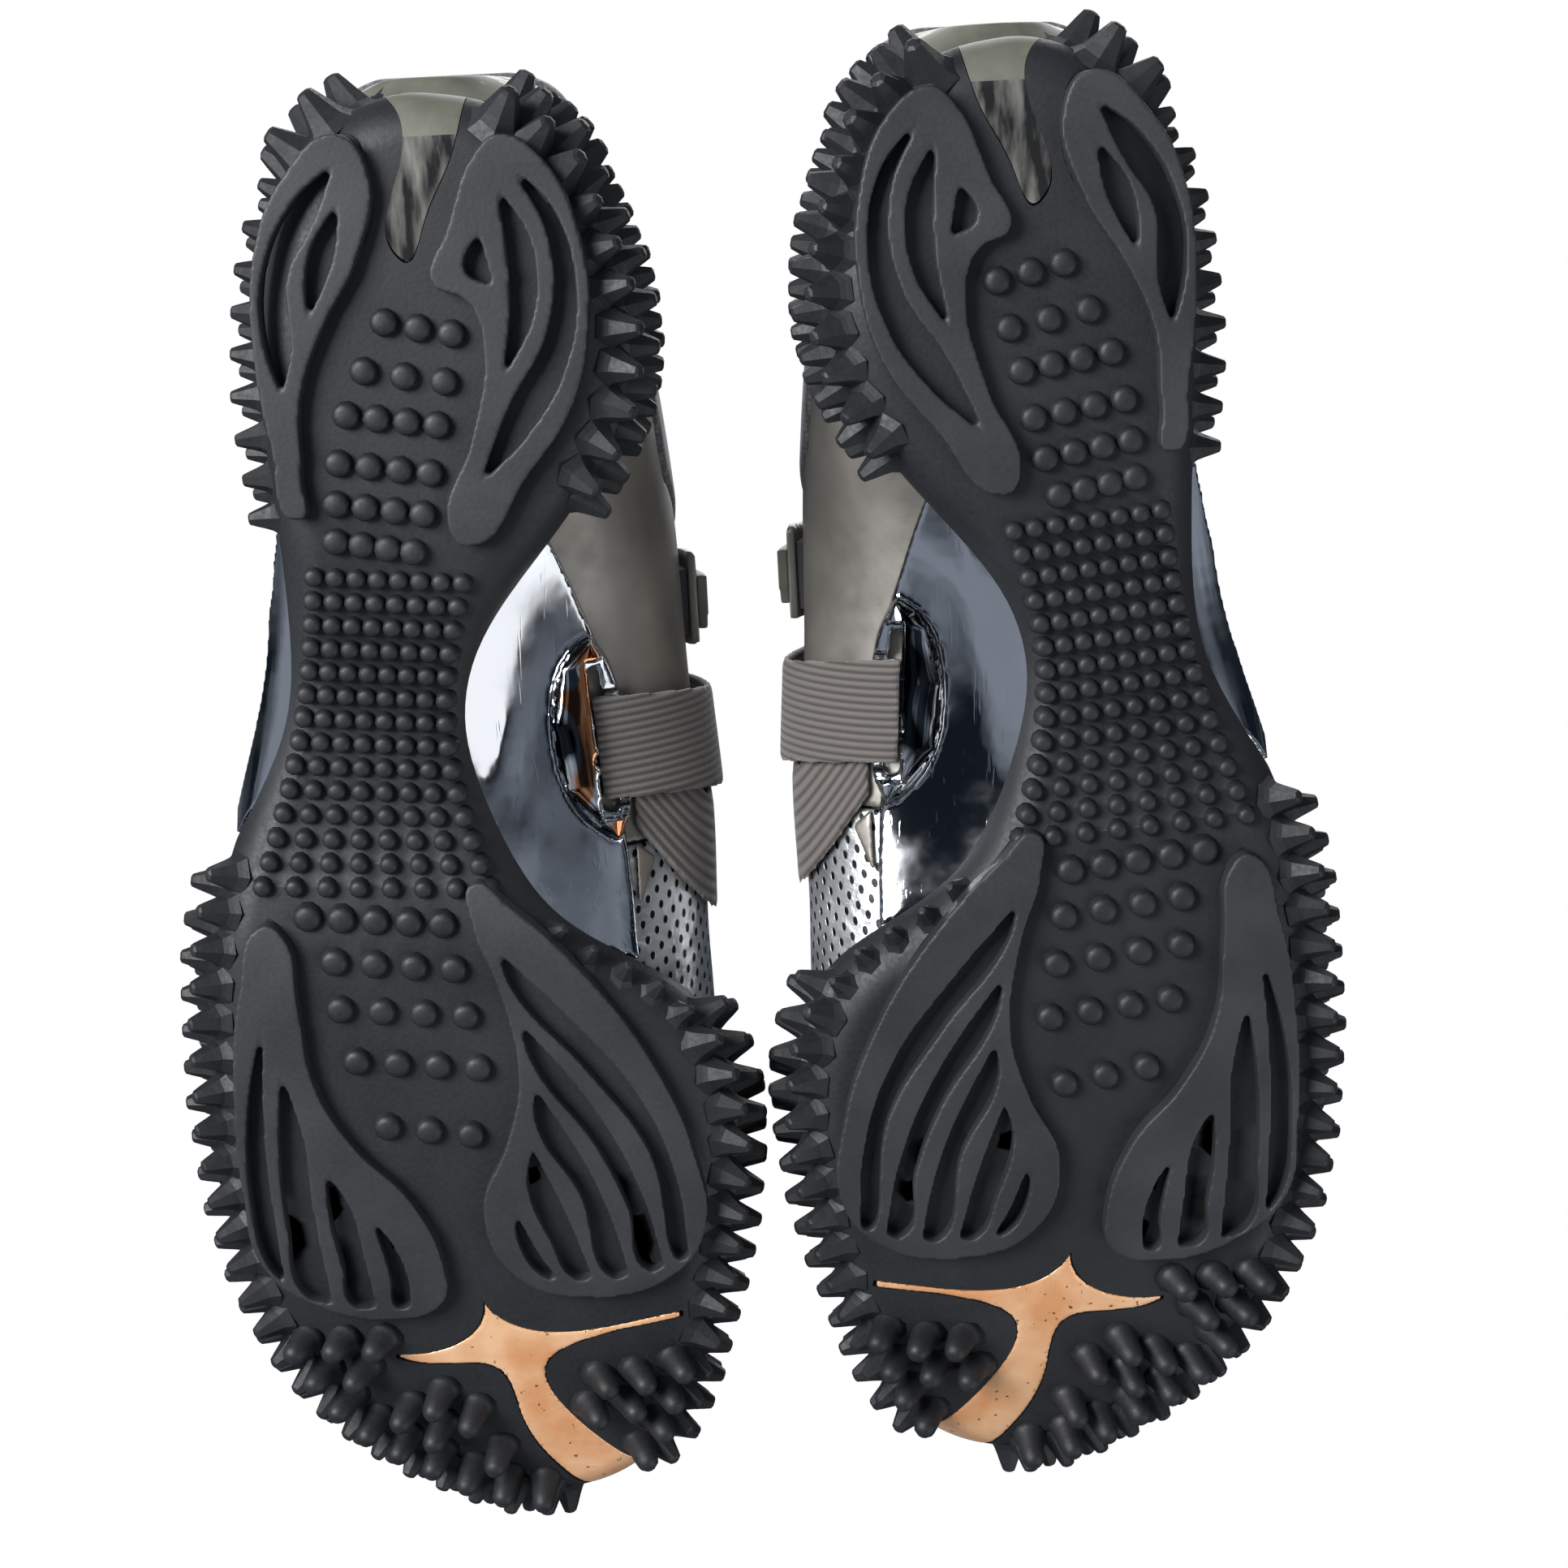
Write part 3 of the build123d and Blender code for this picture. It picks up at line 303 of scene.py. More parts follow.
def shade(work, sharp_degrees=38):
    """Smooth faces, with the edges over an angle kept sharp."""
    limit = math.radians(sharp_degrees)
    for face in work.faces:
        face.smooth = True
    for edge in work.edges:
        edge.smooth = not (len(edge.link_faces) == 2 and edge.calc_face_angle(0) > limit)


def apply_modifiers(piece):
    """Bakes a piece's modifiers into its mesh."""
    bpy.context.view_layer.update()
    graph = bpy.context.evaluated_depsgraph_get()
    mesh = bpy.data.meshes.new_from_object(piece.evaluated_get(graph), depsgraph=graph)
    old = piece.data
    piece.modifiers.clear()
    piece.data = mesh
    bpy.data.meshes.remove(old)


def softened(name, work, voxel, smooth_steps, kept=1.0):
    """A closed bmesh remeshed and rounded, with a share of its faces kept."""
    mesh = bpy.data.meshes.new(name)
    work.to_mesh(mesh)
    work.free()
    holder = bpy.data.objects.new(name, mesh)
    bpy.context.scene.collection.objects.link(holder)
    remesh = holder.modifiers.new("remesh", "REMESH")
    remesh.mode = "VOXEL"
    remesh.voxel_size = voxel
    remesh.adaptivity = 0.0
    smooth = holder.modifiers.new("smooth", "SMOOTH")
    smooth.factor = 0.5
    smooth.iterations = smooth_steps
    if kept < 1:
        holder.modifiers.new("decimate", "DECIMATE").ratio = kept
    apply_modifiers(holder)
    work = bmesh.new()
    work.from_mesh(holder.data)
    bpy.data.objects.remove(holder)
    for face in work.faces:
        face.smooth = True
    return work


# ---------------------------------------------------------------- materials

def moulded_rubber(name, low, high):
    """Moulded natural rubber: satin, with a fine mould grain and a trace of dust, between two tones."""
    material, tree, shader = new_material(name)
    patches = grain(tree, 22, 4)
    colour = two_tone(tree, spread(tree, patches, 0.35, 0.7), low, high)
    tree.links.new(colour, shader.inputs["Base Color"])
    fine = grain(tree, 0.9, 2)
    tree.links.new(spread(tree, fine, 0.3, 0.7, 0.48, 0.62), shader.inputs["Roughness"])
    shader.inputs["IOR"].default_value = 1.5
    bump(tree, shader, fine, 0.4, 0.1)
    return material


def chrome_plating():
    """Chrome plated ABS, polished in the mould and scuffed by walking: bright, with fine scratches."""
    material, tree, shader = new_material("chrome plated plastic")
    shader.inputs["Metallic"].default_value = 1.0
    shader.inputs["Base Color"].default_value = hex_colour("#C9CCD1")
    haze = spread(tree, grain(tree, 14, 5), 0.45, 0.75, 0.05, 0.22)
    tree.links.new(haze, shader.inputs["Roughness"])
    scratches = spread(tree, grain(tree, 1.2, 2, (1, 0.06, 1)), 0.62, 0.7)
    bump(tree, shader, scratches, 0.25, 0.03)
    return material


def chrome_painted_peach_reflection():
    """Chrome plated ABS painted a peach-copper tone, which is a painted reflection of a warm surface in front
    of the plate, with dark specks of wear.
    """
    material, tree, shader = new_material("chrome with painted peach reflection")
    shader.inputs["Metallic"].default_value = 0.25
    worn = spread(tree, grain(tree, 1.6, 5), 0.66, 0.70)
    # Peach to copper tones: a painted reflection of a warm surface, on a plate that is chrome all over.
    painted_reflection_tint = two_tone(tree, spread(tree, grain(tree, 11, 3), 0.35, 0.65), "#DFA070", "#F2C49A")
    mix = add_node(tree, "ShaderNodeMix", {"Factor": worn}, data_type="RGBA")
    tree.links.new(painted_reflection_tint, mix.inputs[6])
    mix.inputs[7].default_value = hex_colour("#6A5140")
    tree.links.new(mix.outputs[2], shader.inputs["Base Color"])
    tree.links.new(spread(tree, grain(tree, 6, 4), 0.3, 0.7, 0.16, 0.34), shader.inputs["Roughness"])
    bump(tree, shader, worn, 0.3, 0.05)
    return material


def boss_painted_reflections():
    """The shank's chrome where it is domed, with painted reflections: dark and white bands and a copper band
    painted into its colour stand for the dark room and the copper toned toe plate.
    """
    material, tree, shader = new_material("chrome boss painted reflections")
    shader.inputs["Metallic"].default_value = 1.0
    shader.inputs["Roughness"].default_value = 0.06
    # Dark and white bands and a copper band: painted reflections of a dark room and the toe plate, in the
    # base colour.
    bands = grain(tree, 7, 1, (1, 0.45, 1))
    silver = two_tone(tree, spread(tree, bands, 0.42, 0.5), "#2A2E35", "#F0F2F5")
    mix = add_node(tree, "ShaderNodeMix", {"Factor": spread(tree, bands, 0.56, 0.6)}, data_type="RGBA")
    tree.links.new(silver, mix.inputs[6])
    mix.inputs[7].default_value = hex_colour("#E39A6C")
    tree.links.new(mix.outputs[2], shader.inputs["Base Color"])
    return material


def plate_edge_painted_reflection():
    """The bevelled edge of the copper toned plate, painted darker and browner: a painted dark reflection on
    the bevel.
    """
    material, tree, shader = new_material("plate edge with painted dark reflection")
    shader.inputs["Metallic"].default_value = 0.6
    shader.inputs["Roughness"].default_value = 0.2
    tree.links.new(two_tone(tree, spread(tree, grain(tree, 5, 3), 0.4, 0.6), "#6A4A38", "#D9A27C"),
                   shader.inputs["Base Color"])
    return material


def silvered_plastic():
    """Clear polycarbonate over a silvered backing, as in the window at the heel: glossy and streaked."""
    material, tree, shader = new_material("silvered polycarbonate")
    streaks = spread(tree, grain(tree, 3, 4, (1, 0.2, 1)), 0.4, 0.65)
    tree.links.new(two_tone(tree, streaks, "#3A3B3C", "#B5B3AD"), shader.inputs["Base Color"])
    shader.inputs["Metallic"].default_value = 0.6
    shader.inputs["Roughness"].default_value = 0.12
    shader.inputs["Coat Weight"].default_value = 1.0
    return material


def silver_leather():
    """Silver foil coated calf leather: a soft metallic sheen, fine pores and faint creases."""
    material, tree, shader = new_material("silver coated leather")
    patches = spread(tree, grain(tree, 30, 3), 0.35, 0.7)
    tree.links.new(two_tone(tree, patches, "#6F6A64", "#95928C"), shader.inputs["Base Color"])
    shader.inputs["Metallic"].default_value = 0.55
    tree.links.new(spread(tree, grain(tree, 5, 3), 0.3, 0.7, 0.34, 0.48), shader.inputs["Roughness"])
    bump(tree, shader, grain(tree, 1.1, 4), 0.3, 0.08)
    return material


def perforated_leather():
    """Silver foil leather punched with 1 mm holes at a 4 mm pitch, and crinkled where it bends."""
    material, tree, shader = new_material("perforated silver leather")
    coords = add_node(tree, "ShaderNodeTexCoord").outputs["Object"]
    split = add_node(tree, "ShaderNodeSeparateXYZ", {"Vector": coords})
    pitch = 3.1 * MM

    def cell(value, shift):
        scaled = maths(tree, "MULTIPLY_ADD", value, 1 / pitch, shift)
        wrapped = maths(tree, "FRACT", scaled)
        return maths(tree, "SUBTRACT", wrapped, 0.5)

    # The way up the side is the height plus a share of the distance from the shoe's own middle.
    beside = maths(tree, "ABSOLUTE", split.outputs["X"])
    offset = maths(tree, "SUBTRACT", beside, settings().spacing / 2 * MM)
    across = maths(tree, "ABSOLUTE", offset)
    side_climb = maths(tree, "MULTIPLY_ADD", across, 0.75, split.outputs["Z"])
    # Over the top of the foot the rows are counted across the shoe.
    normal = add_node(tree, "ShaderNodeNewGeometry").outputs["Normal"]
    facing = add_node(tree, "ShaderNodeSeparateXYZ", {"Vector": normal}).outputs["Z"]
    on_top = maths(tree, "GREATER_THAN", facing, 0.66)
    climb = add_node(
        tree, "ShaderNodeMix", {"Factor": on_top, "A": side_climb, "B": split.outputs["X"]}, data_type="FLOAT"
    ).outputs[0]
    slant = maths(tree, "MULTIPLY_ADD", climb, 0.5, split.outputs["Y"])
    along = cell(slant, 0.0)
    up = cell(climb, 0.0)
    point = add_node(tree, "ShaderNodeCombineXYZ", {"X": along, "Y": up}).outputs[0]
    reach = add_node(tree, "ShaderNodeVectorMath", {0: point}, operation="LENGTH").outputs["Value"]
    hole = spread(tree, reach, 0.2, 0.26)
    tone = two_tone(tree, spread(tree, grain(tree, 9, 3), 0.35, 0.65), "#A9ACAF", "#D3D5D7")
    mix = add_node(tree, "ShaderNodeMix", {"Factor": hole}, data_type="RGBA")
    mix.inputs[6].default_value = hex_colour("#1E1F21")
    tree.links.new(tone, mix.inputs[7])
    tree.links.new(mix.outputs[2], shader.inputs["Base Color"])
    shader.inputs["Metallic"].default_value = 0.8
    shader.inputs["Roughness"].default_value = 0.33
    crinkle = maths(tree, "ADD", hole, spread(tree, grain(tree, 4, 4), 0.3, 0.7, 0.0, 0.9))
    bump(tree, shader, crinkle, 0.5, 0.35)
    return material


def ribbed_elastic(name, side_way, top_way, turn_mm):
    """Woven elastic webbing: ribs 1.5 mm apart along its length, which turns at a height."""
    material, tree, shader = new_material(name)
    coords = add_node(tree, "ShaderNodeTexCoord").outputs["Object"]
    height = add_node(tree, "ShaderNodeSeparateXYZ", {"Vector": coords}).outputs["Z"]
    over = maths(tree, "GREATER_THAN", height, turn_mm * MM)
    way = add_node(tree, "ShaderNodeMix", {"Factor": over}, data_type="VECTOR")
    way.inputs[4].default_value = side_way
    way.inputs[5].default_value = top_way
    across = add_node(
        tree, "ShaderNodeVectorMath", {0: coords, 1: way.outputs[1]}, operation="DOT_PRODUCT"
    ).outputs["Value"]
    waved = maths(tree, "MULTIPLY", across, 2 * math.pi / (1.5 * MM))
    ribs = maths(tree, "SINE", waved)
    weave = grain(tree, 0.7, 2)
    tree.links.new(
        two_tone(tree, spread(tree, ribs, -1.0, 0.4), "#3F3B39", "#67625E"), shader.inputs["Base Color"]
    )
    shader.inputs["Roughness"].default_value = 0.85
    shader.inputs["Sheen Weight"].default_value = 0.3
    both = maths(tree, "ADD", ribs, weave)
    bump(tree, shader, both, 0.6, 0.3)
    return material


def olive_rubber():
    """Soft thermoplastic rubber in a dusty grey-olive, as moulded."""
    material, tree, shader = new_material("grey-olive soft rubber")
    patches = spread(tree, grain(tree, 12, 4), 0.35, 0.7)
    tree.links.new(two_tone(tree, patches, "#55564C", "#727367"), shader.inputs["Base Color"])
    shader.inputs["Roughness"].default_value = 0.5
    bump(tree, shader, grain(tree, 0.8, 3), 0.3, 0.06)
    return material


def knitted_fabric():
    """Warp knitted polyester over foam: a small regular stitch and a soft sheen."""
    material, tree, shader = new_material("knitted polyester")
    coords = add_node(tree, "ShaderNodeTexCoord").outputs["Object"]
    stitch = add_node(
        tree, "ShaderNodeTexVoronoi", {"Vector": coords, "Scale": 1 / (1.1 * MM), "Randomness": 0.35}
    ).outputs["Distance"]
    tree.links.new(
        two_tone(tree, spread(tree, stitch, 0.1, 0.6), "#77787C", "#4A4B4F"), shader.inputs["Base Color"]
    )
    shader.inputs["Roughness"].default_value = 0.9
    shader.inputs["Sheen Weight"].default_value = 0.4
    bump(tree, shader, stitch, -0.5, 0.25)
    return material


def midsole_foam():
    """Moulded EVA foam: pale grey, dull, with a faint cell texture."""
    material, tree, shader = new_material("moulded EVA foam")
    tree.links.new(
        two_tone(tree, spread(tree, grain(tree, 1.5, 3), 0.3, 0.7), "#8C8D90", "#9A9B9E"),
        shader.inputs["Base Color"],
    )
    shader.inputs["Roughness"].default_value = 0.8
    bump(tree, shader, grain(tree, 1.2, 2), 0.3, 0.1)
    return material


def fibreboard():
    """Pressed cellulose insole board: brown-grey and fibrous."""
    material, tree, shader = new_material("pressed fibreboard")
    tree.links.new(
        two_tone(tree, spread(tree, grain(tree, 2.5, 5, (1, 0.3, 1)), 0.3, 0.7), "#7C7466", "#938A7A"),
        shader.inputs["Base Color"],
    )
    shader.inputs["Roughness"].default_value = 0.9
    bump(tree, shader, grain(tree, 1.5, 4), 0.4, 0.1)
    return material


def hook_fabric():
    """Nylon hook tape: dark grey, with tiny stiff hooks in rows."""
    material, tree, shader = new_material("nylon hook tape")
    shader.inputs["Base Color"].default_value = hex_colour("#3B3C3E")
    shader.inputs["Roughness"].default_value = 0.8
    coords = add_node(tree, "ShaderNodeTexCoord").outputs["Object"]
    hooks = add_node(
        tree, "ShaderNodeTexVoronoi", {"Vector": coords, "Scale": 1 / (0.9 * MM)}
    ).outputs["Distance"]
    bump(tree, shader, hooks, -0.7, 0.4)
    return material


MATERIALS = {}
ELASTIC_TURN = 44.0


def material(name):
    """A finish by its short name, made once."""
    makers = {
        "rubber": lambda: moulded_rubber("moulded rubber", "#191B1E", "#23262A"),
        "worn rubber": lambda: moulded_rubber("worn rubber tread", "#25272A", "#333538"),
        # The plate's copper tone, its darker edge and the boss's bands are painted reflections in the colour.
        "chrome": chrome_plating, "copper": chrome_painted_peach_reflection, "boss": boss_painted_reflections, "plate edge painted reflection": plate_edge_painted_reflection,
        "window": silvered_plastic, "leather": silver_leather, "perforated": perforated_leather,
        "olive": olive_rubber, "knit": knitted_fabric, "foam": midsole_foam, "board": fibreboard,
        "hooks": hook_fabric,
        "elastic": lambda: ribbed_elastic("ribbed elastic", (0, 1, 0), (0, 1, 0), 0),
        "elastic left": lambda: ribbed_elastic(
            "ribbed elastic left", (-0.821, 0.571, 0), (0.322, 0.947, 0), ELASTIC_TURN
        ),
        "elastic right": lambda: ribbed_elastic(
            "ribbed elastic right", (0.821, 0.571, 0), (-0.322, 0.947, 0), ELASTIC_TURN
        ),
    }
    if name not in MATERIALS:
        MATERIALS[name] = makers[name]()
    return MATERIALS[name]


# ---------------------------------------------------------------- the outsole and its spikes

def rim_path():
    """The outsole's outline as evenly spaced points with outward directions, in a shoe's millimetres."""
    curve = bpy.data.curves.new("rim", "CURVE")
    spline = curve.splines.new("BEZIER")
    spline.bezier_points.add(len(SOLE_OUTLINE) - 1)
    for point, (x, y) in zip(spline.bezier_points, SOLE_OUTLINE):
        point.co = (x, y, 0)
        point.handle_left_type = point.handle_right_type = "AUTO"
    spline.use_cyclic_u = True
    curve.resolution_u = 24
    holder = bpy.data.objects.new("rim", curve)
    bpy.context.scene.collection.objects.link(holder)
    bpy.context.view_layer.update()
    mesh = bpy.data.meshes.new_from_object(holder)
    points = [Vector(vertex.co) for vertex in mesh.vertices]
    bpy.data.objects.remove(holder)
    bpy.data.meshes.remove(mesh)
    lengths = [0.0]
    for here, there in zip(points, points[1:] + points[:1]):
        lengths.append(lengths[-1] + (there - here).length)

    def place(distance):
        distance %= lengths[-1]
        index = next(i for i in range(len(points)) if lengths[i + 1] >= distance)
        here, there = points[index], points[(index + 1) % len(points)]
        share = (distance - lengths[index]) / (lengths[index + 1] - lengths[index])
        along = (there - here).normalized()
        return here.lerp(there, share), Vector((-along.y, along.x, 0))

    return place, lengths[-1]


# Sides of a spike from its foot to its tip, as (share of its radius, share of its length).
THORN = ((1.3, -0.12), (1.06, 0.03), (0.88, 0.16), (0.7, 0.42), (0.5, 0.76), (0.36, 0.97), (0.2, 1.02))
FINGER = ((1.4, -0.12), (1.12, 0.05), (0.98, 0.25), (0.88, 0.6), (0.76, 0.86), (0.5, 0.99), (0.2, 1.03))

# A spike with more sides than this is round, and the others keep their facets.
FACETTED_SIDES = 8


def skin(work, rings, smooth, smooth_tip):
    """Makes the faces between rings of vertices and closes both ends."""
    for low, high in zip(rings, rings[1:]):
        for number in range(len(low)):
            after = (number + 1) % len(low)
            work.faces.new((low[number], low[after], high[after], high[number])).smooth = smooth
    work.faces.new(rings[-1]).smooth = smooth_tip
    work.faces.new(rings[0][::-1])


def add_spike(work, profile, root, axis, radius, length, sides, turn):
    """A rubber spike with a flared foot and a small flat tip, sunk a little into what it stands on."""
    side = axis.orthogonal().normalized()
    turned = Matrix((side, axis.cross(side), axis)).transposed()
    rings = []
    for share, height in profile:
        ring = []
        for number in range(sides):
            angle = turn + 2 * math.pi * number / sides
            reach = radius * share
            local = Vector((reach * math.cos(angle), reach * math.sin(angle), length * height))
            ring.append(work.verts.new(root + turned @ local))
        rings.append(ring)
    skin(work, rings, sides > FACETTED_SIDES, False)


def tread_height(y):
    """Height of the rubber floor's underside between the lugs, in millimetres along a shoe."""
    level = settings().lug_height
    if HEEL_FLAT < y < BALL_START:
        share = (y - HEEL_FLAT) / (BALL_START - HEEL_FLAT)
        return level + ARCH_RISE * (1 - math.cos(2 * math.pi * share)) / 2
    if y < SPRING_START:
        return level
    return level + SPRING_RADIUS - math.sqrt(SPRING_RADIUS ** 2 - (y - SPRING_START) ** 2)


def lug_mesh(name):
    """One lug with its slots, its edges softened, as a bmesh in a shoe's millimetres."""
    s = settings()
    curve = bpy.data.curves.new(name, "CURVE")
    curve.dimensions = "2D"
    curve.fill_mode = "BOTH"
    curve.resolution_u = 10
    outlines = [(LUGS[name], ())] + [(right + left, (0, len(right) - 1)) for right, left in SLOTS[name]]
    for points, tips in outlines:
        spline = curve.splines.new("BEZIER")
        spline.bezier_points.add(len(points) - 1)
        for number, (point, (x, y)) in enumerate(zip(spline.bezier_points, points)):
            point.co = (x, y, 0)
            point.handle_left_type = point.handle_right_type = "VECTOR" if number in tips else "AUTO"
        spline.use_cyclic_u = True
    curve.extrude = (s.lug_height + s.lug_root) / 2
    holder = bpy.data.objects.new(name, curve)
    bpy.context.scene.collection.objects.link(holder)
    bpy.context.view_layer.update()
    mesh = bpy.data.meshes.new_from_object(holder)
    bpy.data.objects.remove(holder)
    work = bmesh.new()
    work.from_mesh(mesh)
    bpy.data.meshes.remove(mesh)
    bmesh.ops.remove_doubles(work, verts=work.verts, dist=0.002)
    work = softened(name, work, s.lug_voxel, 3)
    for vertex in work.verts:
        vertex.co.z += (s.lug_height + s.lug_root) / 2 - s.lug_height
    buried = [face for face in work.faces if face.calc_center_median().z > 0.4]
    bmesh.ops.delete(work, geom=buried, context="FACES")
    for vertex in work.verts:
        vertex.co.z += tread_height(vertex.co.y)
    return work


def nub_places():
    """Where the round nubs stand, as (x, y, radius): the heel's, the waist's and the forefoot's rows."""
    rows = [
        (41.0, -5.0, 7.0, 3, 2.6), (49.5, -9.5, 5.0, 3, 2.6), (57.3, -13.4, 3.0, 4, 2.6),
        (66.0, -15.7, 1.0, 4, 2.6), (73.5, -16.8, -1.0, 4, 2.6), (80.5, -17.6, -3.5, 4, 2.6),
    ]
    for step in range(14):
        share = step / 13
        middle = math.sin(math.pi * share)
        rows.append((87 + 60 * share, -22.5 - 16 * share + 2 * middle, 5 - 6 * middle, 8, 1.9))
    rows += [
        (153.3, -30.2, -4.3, 5, 2.8), (162.3, -25.7, -2.8, 4, 2.8), (172.0, -25.5, -1.2, 4, 2.8),
        (183.0, -23.3, 0.3, 4, 2.8), (197.0, -18.5, -2.2, 3, 2.8),
    ]
    for y, first, last, count, radius in rows:
        for number in range(count):
            share = number / (count - 1)
            yield first + (last - first) * share, y + 2.6 * (share - 0.5), radius


def add_nub(work, x, y, radius, height, sides):
    """A short round nub with a domed top, under the rubber floor."""
    base = tread_height(y)
    profile = ((1.18, -0.5), (1.0, 0.1), (0.96, 0.62), (0.78, 0.86), (0.45, 0.98))
    rings = []
    for share, drop in profile:
        ring = []
        for number in range(sides):
            angle = 2 * math.pi * number / sides
            reach = radius * share
            ring.append(work.verts.new(
                (x + reach * math.cos(angle), y + reach * math.sin(angle), base - drop * height)
            ))
        rings.append(ring)
    skin(work, rings, True, True)


class SHOES_OT_outsole(bpy.types.Operator):
    """Makes both rubber outsoles, their slotted lugs and their round nubs"""

    bl_idname = "shoes.outsole"
    bl_label = "Outsoles"

    def execute(self, context):
        s = settings()
        for side in SIDES:
            to_row = side_matrix(side)
            to_shoe = to_row.inverted()
            node = f"{side}_outsole"
            work = node_mesh(node)
            # What stands below the floor between the lugs is pressed flat, and made anew below.
            for vertex in work.verts:
                place = to_shoe @ vertex.co
                if place.z < tread_height(place.y) - TREAD_SLACK:
                    vertex.co.z = tread_height(place.y) * MM
            merge(work)
            shade(work, 32)
            make_piece(f"{side}_rubber_sole", work, f"{side}_shoe", [material("rubber")], [node])

            for part in ("heel", "ball"):
                work = bmesh.new()
                for name in (f"{part}_outer", f"{part}_inner"):
                    lug = lug_mesh(name)
                    mesh = bpy.data.meshes.new(name)
                    lug.to_mesh(mesh)
                    lug.free()
                    work.from_mesh(mesh)
                    bpy.data.meshes.remove(mesh)
                bmesh.ops.transform(work, matrix=to_row, verts=work.verts)
                bmesh.ops.recalc_face_normals(work, faces=work.faces)
                make_piece(f"{side}_{part}_lugs", work, f"{side}_shoe", [material("worn rubber")])

            work = bmesh.new()
            for x, y, radius in nub_places():
                add_nub(work, x, y, radius, s.nub_height, 10)
            bmesh.ops.transform(work, matrix=to_row, verts=work.verts)
            bmesh.ops.recalc_face_normals(work, faces=work.faces)
            make_piece(f"{side}_nubs", work, f"{side}_shoe", [material("rubber")])
        return {"FINISHED"}


class SHOES_OT_spikes(bpy.types.Operator):
    """Makes the rows of rubber spikes round the heel, the forefoot and the toe"""

    bl_idname = "shoes.spikes"
    bl_label = "Rubber spikes"

    def execute(self, context):
        s = settings()
        place, total = rim_path()
        random.seed(7)
        spikes = []
        count = round(total / s.spike_pitch)
        surface = BVHTree.FromBMesh(node_mesh("left_outsole"))
        plate = BVHTree.FromBMesh(node_mesh("left_toe_plate"))
        matrix = side_matrix("left")
        turned = matrix.to_3x3() * 1000
        for row, (angle, lift, phase) in enumerate(SPIKE_ROWS):
            for number in range(count):
                edge, out = place((number + phase) * total / count)
                inner = edge.x > 0
                heel = edge.y < HEEL_END
                if heel and not inner and row in INNER_ROWS:
                    continue
                arch_stud = inner and row == 0 and edge.y > ARCH_STUDS
                if not heel and edge.y < (INNER_START if inner else OUTER_START) and not arch_stud:
                    continue
                if edge.y < HORN_END and abs(edge.x - NOTCH_MIDDLE) < HORN_HALF:
                    continue
                base = edge - out * s.edge_round
                tilt = math.radians(angle)
                axis = out * math.sin(tilt) - Vector((0, 0, 1)) * math.cos(tilt)
                height = tread_height(base.y) + s.edge_round + lift
                start = Vector((base.x, base.y, height)) + axis * (s.edge_round + 6)
                size = 1.0 if inner or not heel else 0.85
                if inner and SMALL_STUDS[0] < edge.y < SMALL_STUDS[1]:
                    size = 0.7
                if edge.y < CORNER_END:
                    size = 1.25
                spikes.append((start, axis, size))
        # Toe: blunt fingers in staggered rows on the underside, on both sides of the T's stem.
        fingers = []
        for inset in FINGER_INSETS:
            for number in range(2 * round(total)):
                edge, out = place(number / 2)
                point = edge - out * inset
                middle = FINGER_MIDDLE[0] < point.x < FINGER_MIDDLE[1]
                crowded = any((point - other).length < s.finger_pitch for other in fingers)
                if crowded or point.y < (FINGER_START if middle else FINGER_SIDE_START):
                    continue
                fingers.append(point)
                axis = (out * 0.42 - Vector((0, 0, 1))).normalized()
                spikes.append((Vector((point.x, point.y, tread_height(point.y))) + axis * 6, axis, 0.0))
        for side in SIDES:
            work = bmesh.new()
            to_row = side_matrix(side)
            for start, axis, size in spikes:
                hit = surface.ray_cast(matrix @ start, -(turned @ axis), REACH * MM)[0]
                if hit is None or plate.find_nearest(hit)[3] < PLATE_GAP * MM:
                    continue
                root = matrix.inverted() @ hit
                lean = (axis + random.uniform(-0.06, 0.06) * Vector((axis.y, -axis.x, 0))).normalized()
                length = s.spike_length * random.uniform(0.94, 1.03)
                if size:
                    add_spike(
                        work, THORN, root, lean, s.spike_radius * size, length * size, s.spike_sides,
                        random.uniform(0, 6),
                    )
                else:
                    clear = (root.z - s.floor_gap) / -lean.z
                    add_spike(work, FINGER, root, lean, s.finger_radius, min(1.25 * length, clear), 12, 0.0)
            random.seed(7)
            bmesh.ops.transform(work, matrix=to_row, verts=work.verts)
            bmesh.ops.recalc_face_normals(work, faces=work.faces)
            make_piece(
                f"{side}_spikes", work, f"{side}_shoe", [material("rubber")],
                [f"{side}_heel_studs", f"{side}_forefoot_studs"],
            )
        return {"FINISHED"}


# ---------------------------------------------------------------- hard trim

# The T plate bends up from here, and its edge is what tilts further than this from straight down.
PLATE_FLAT_END = 262
EDGE_TILT = 0.85
# The boss is domed where the shank faces down by more than this.
UNDERSIDE = 0.25


def line_at(points, y):
    """The x of a line of (x, y) points at a y."""
    for (x_low, low), (x_high, high) in zip(points, points[1:]):
        if low <= y <= high:
            return x_low + (x_high - x_low) * (y - low) / (high - low)
    return points[-1][0]


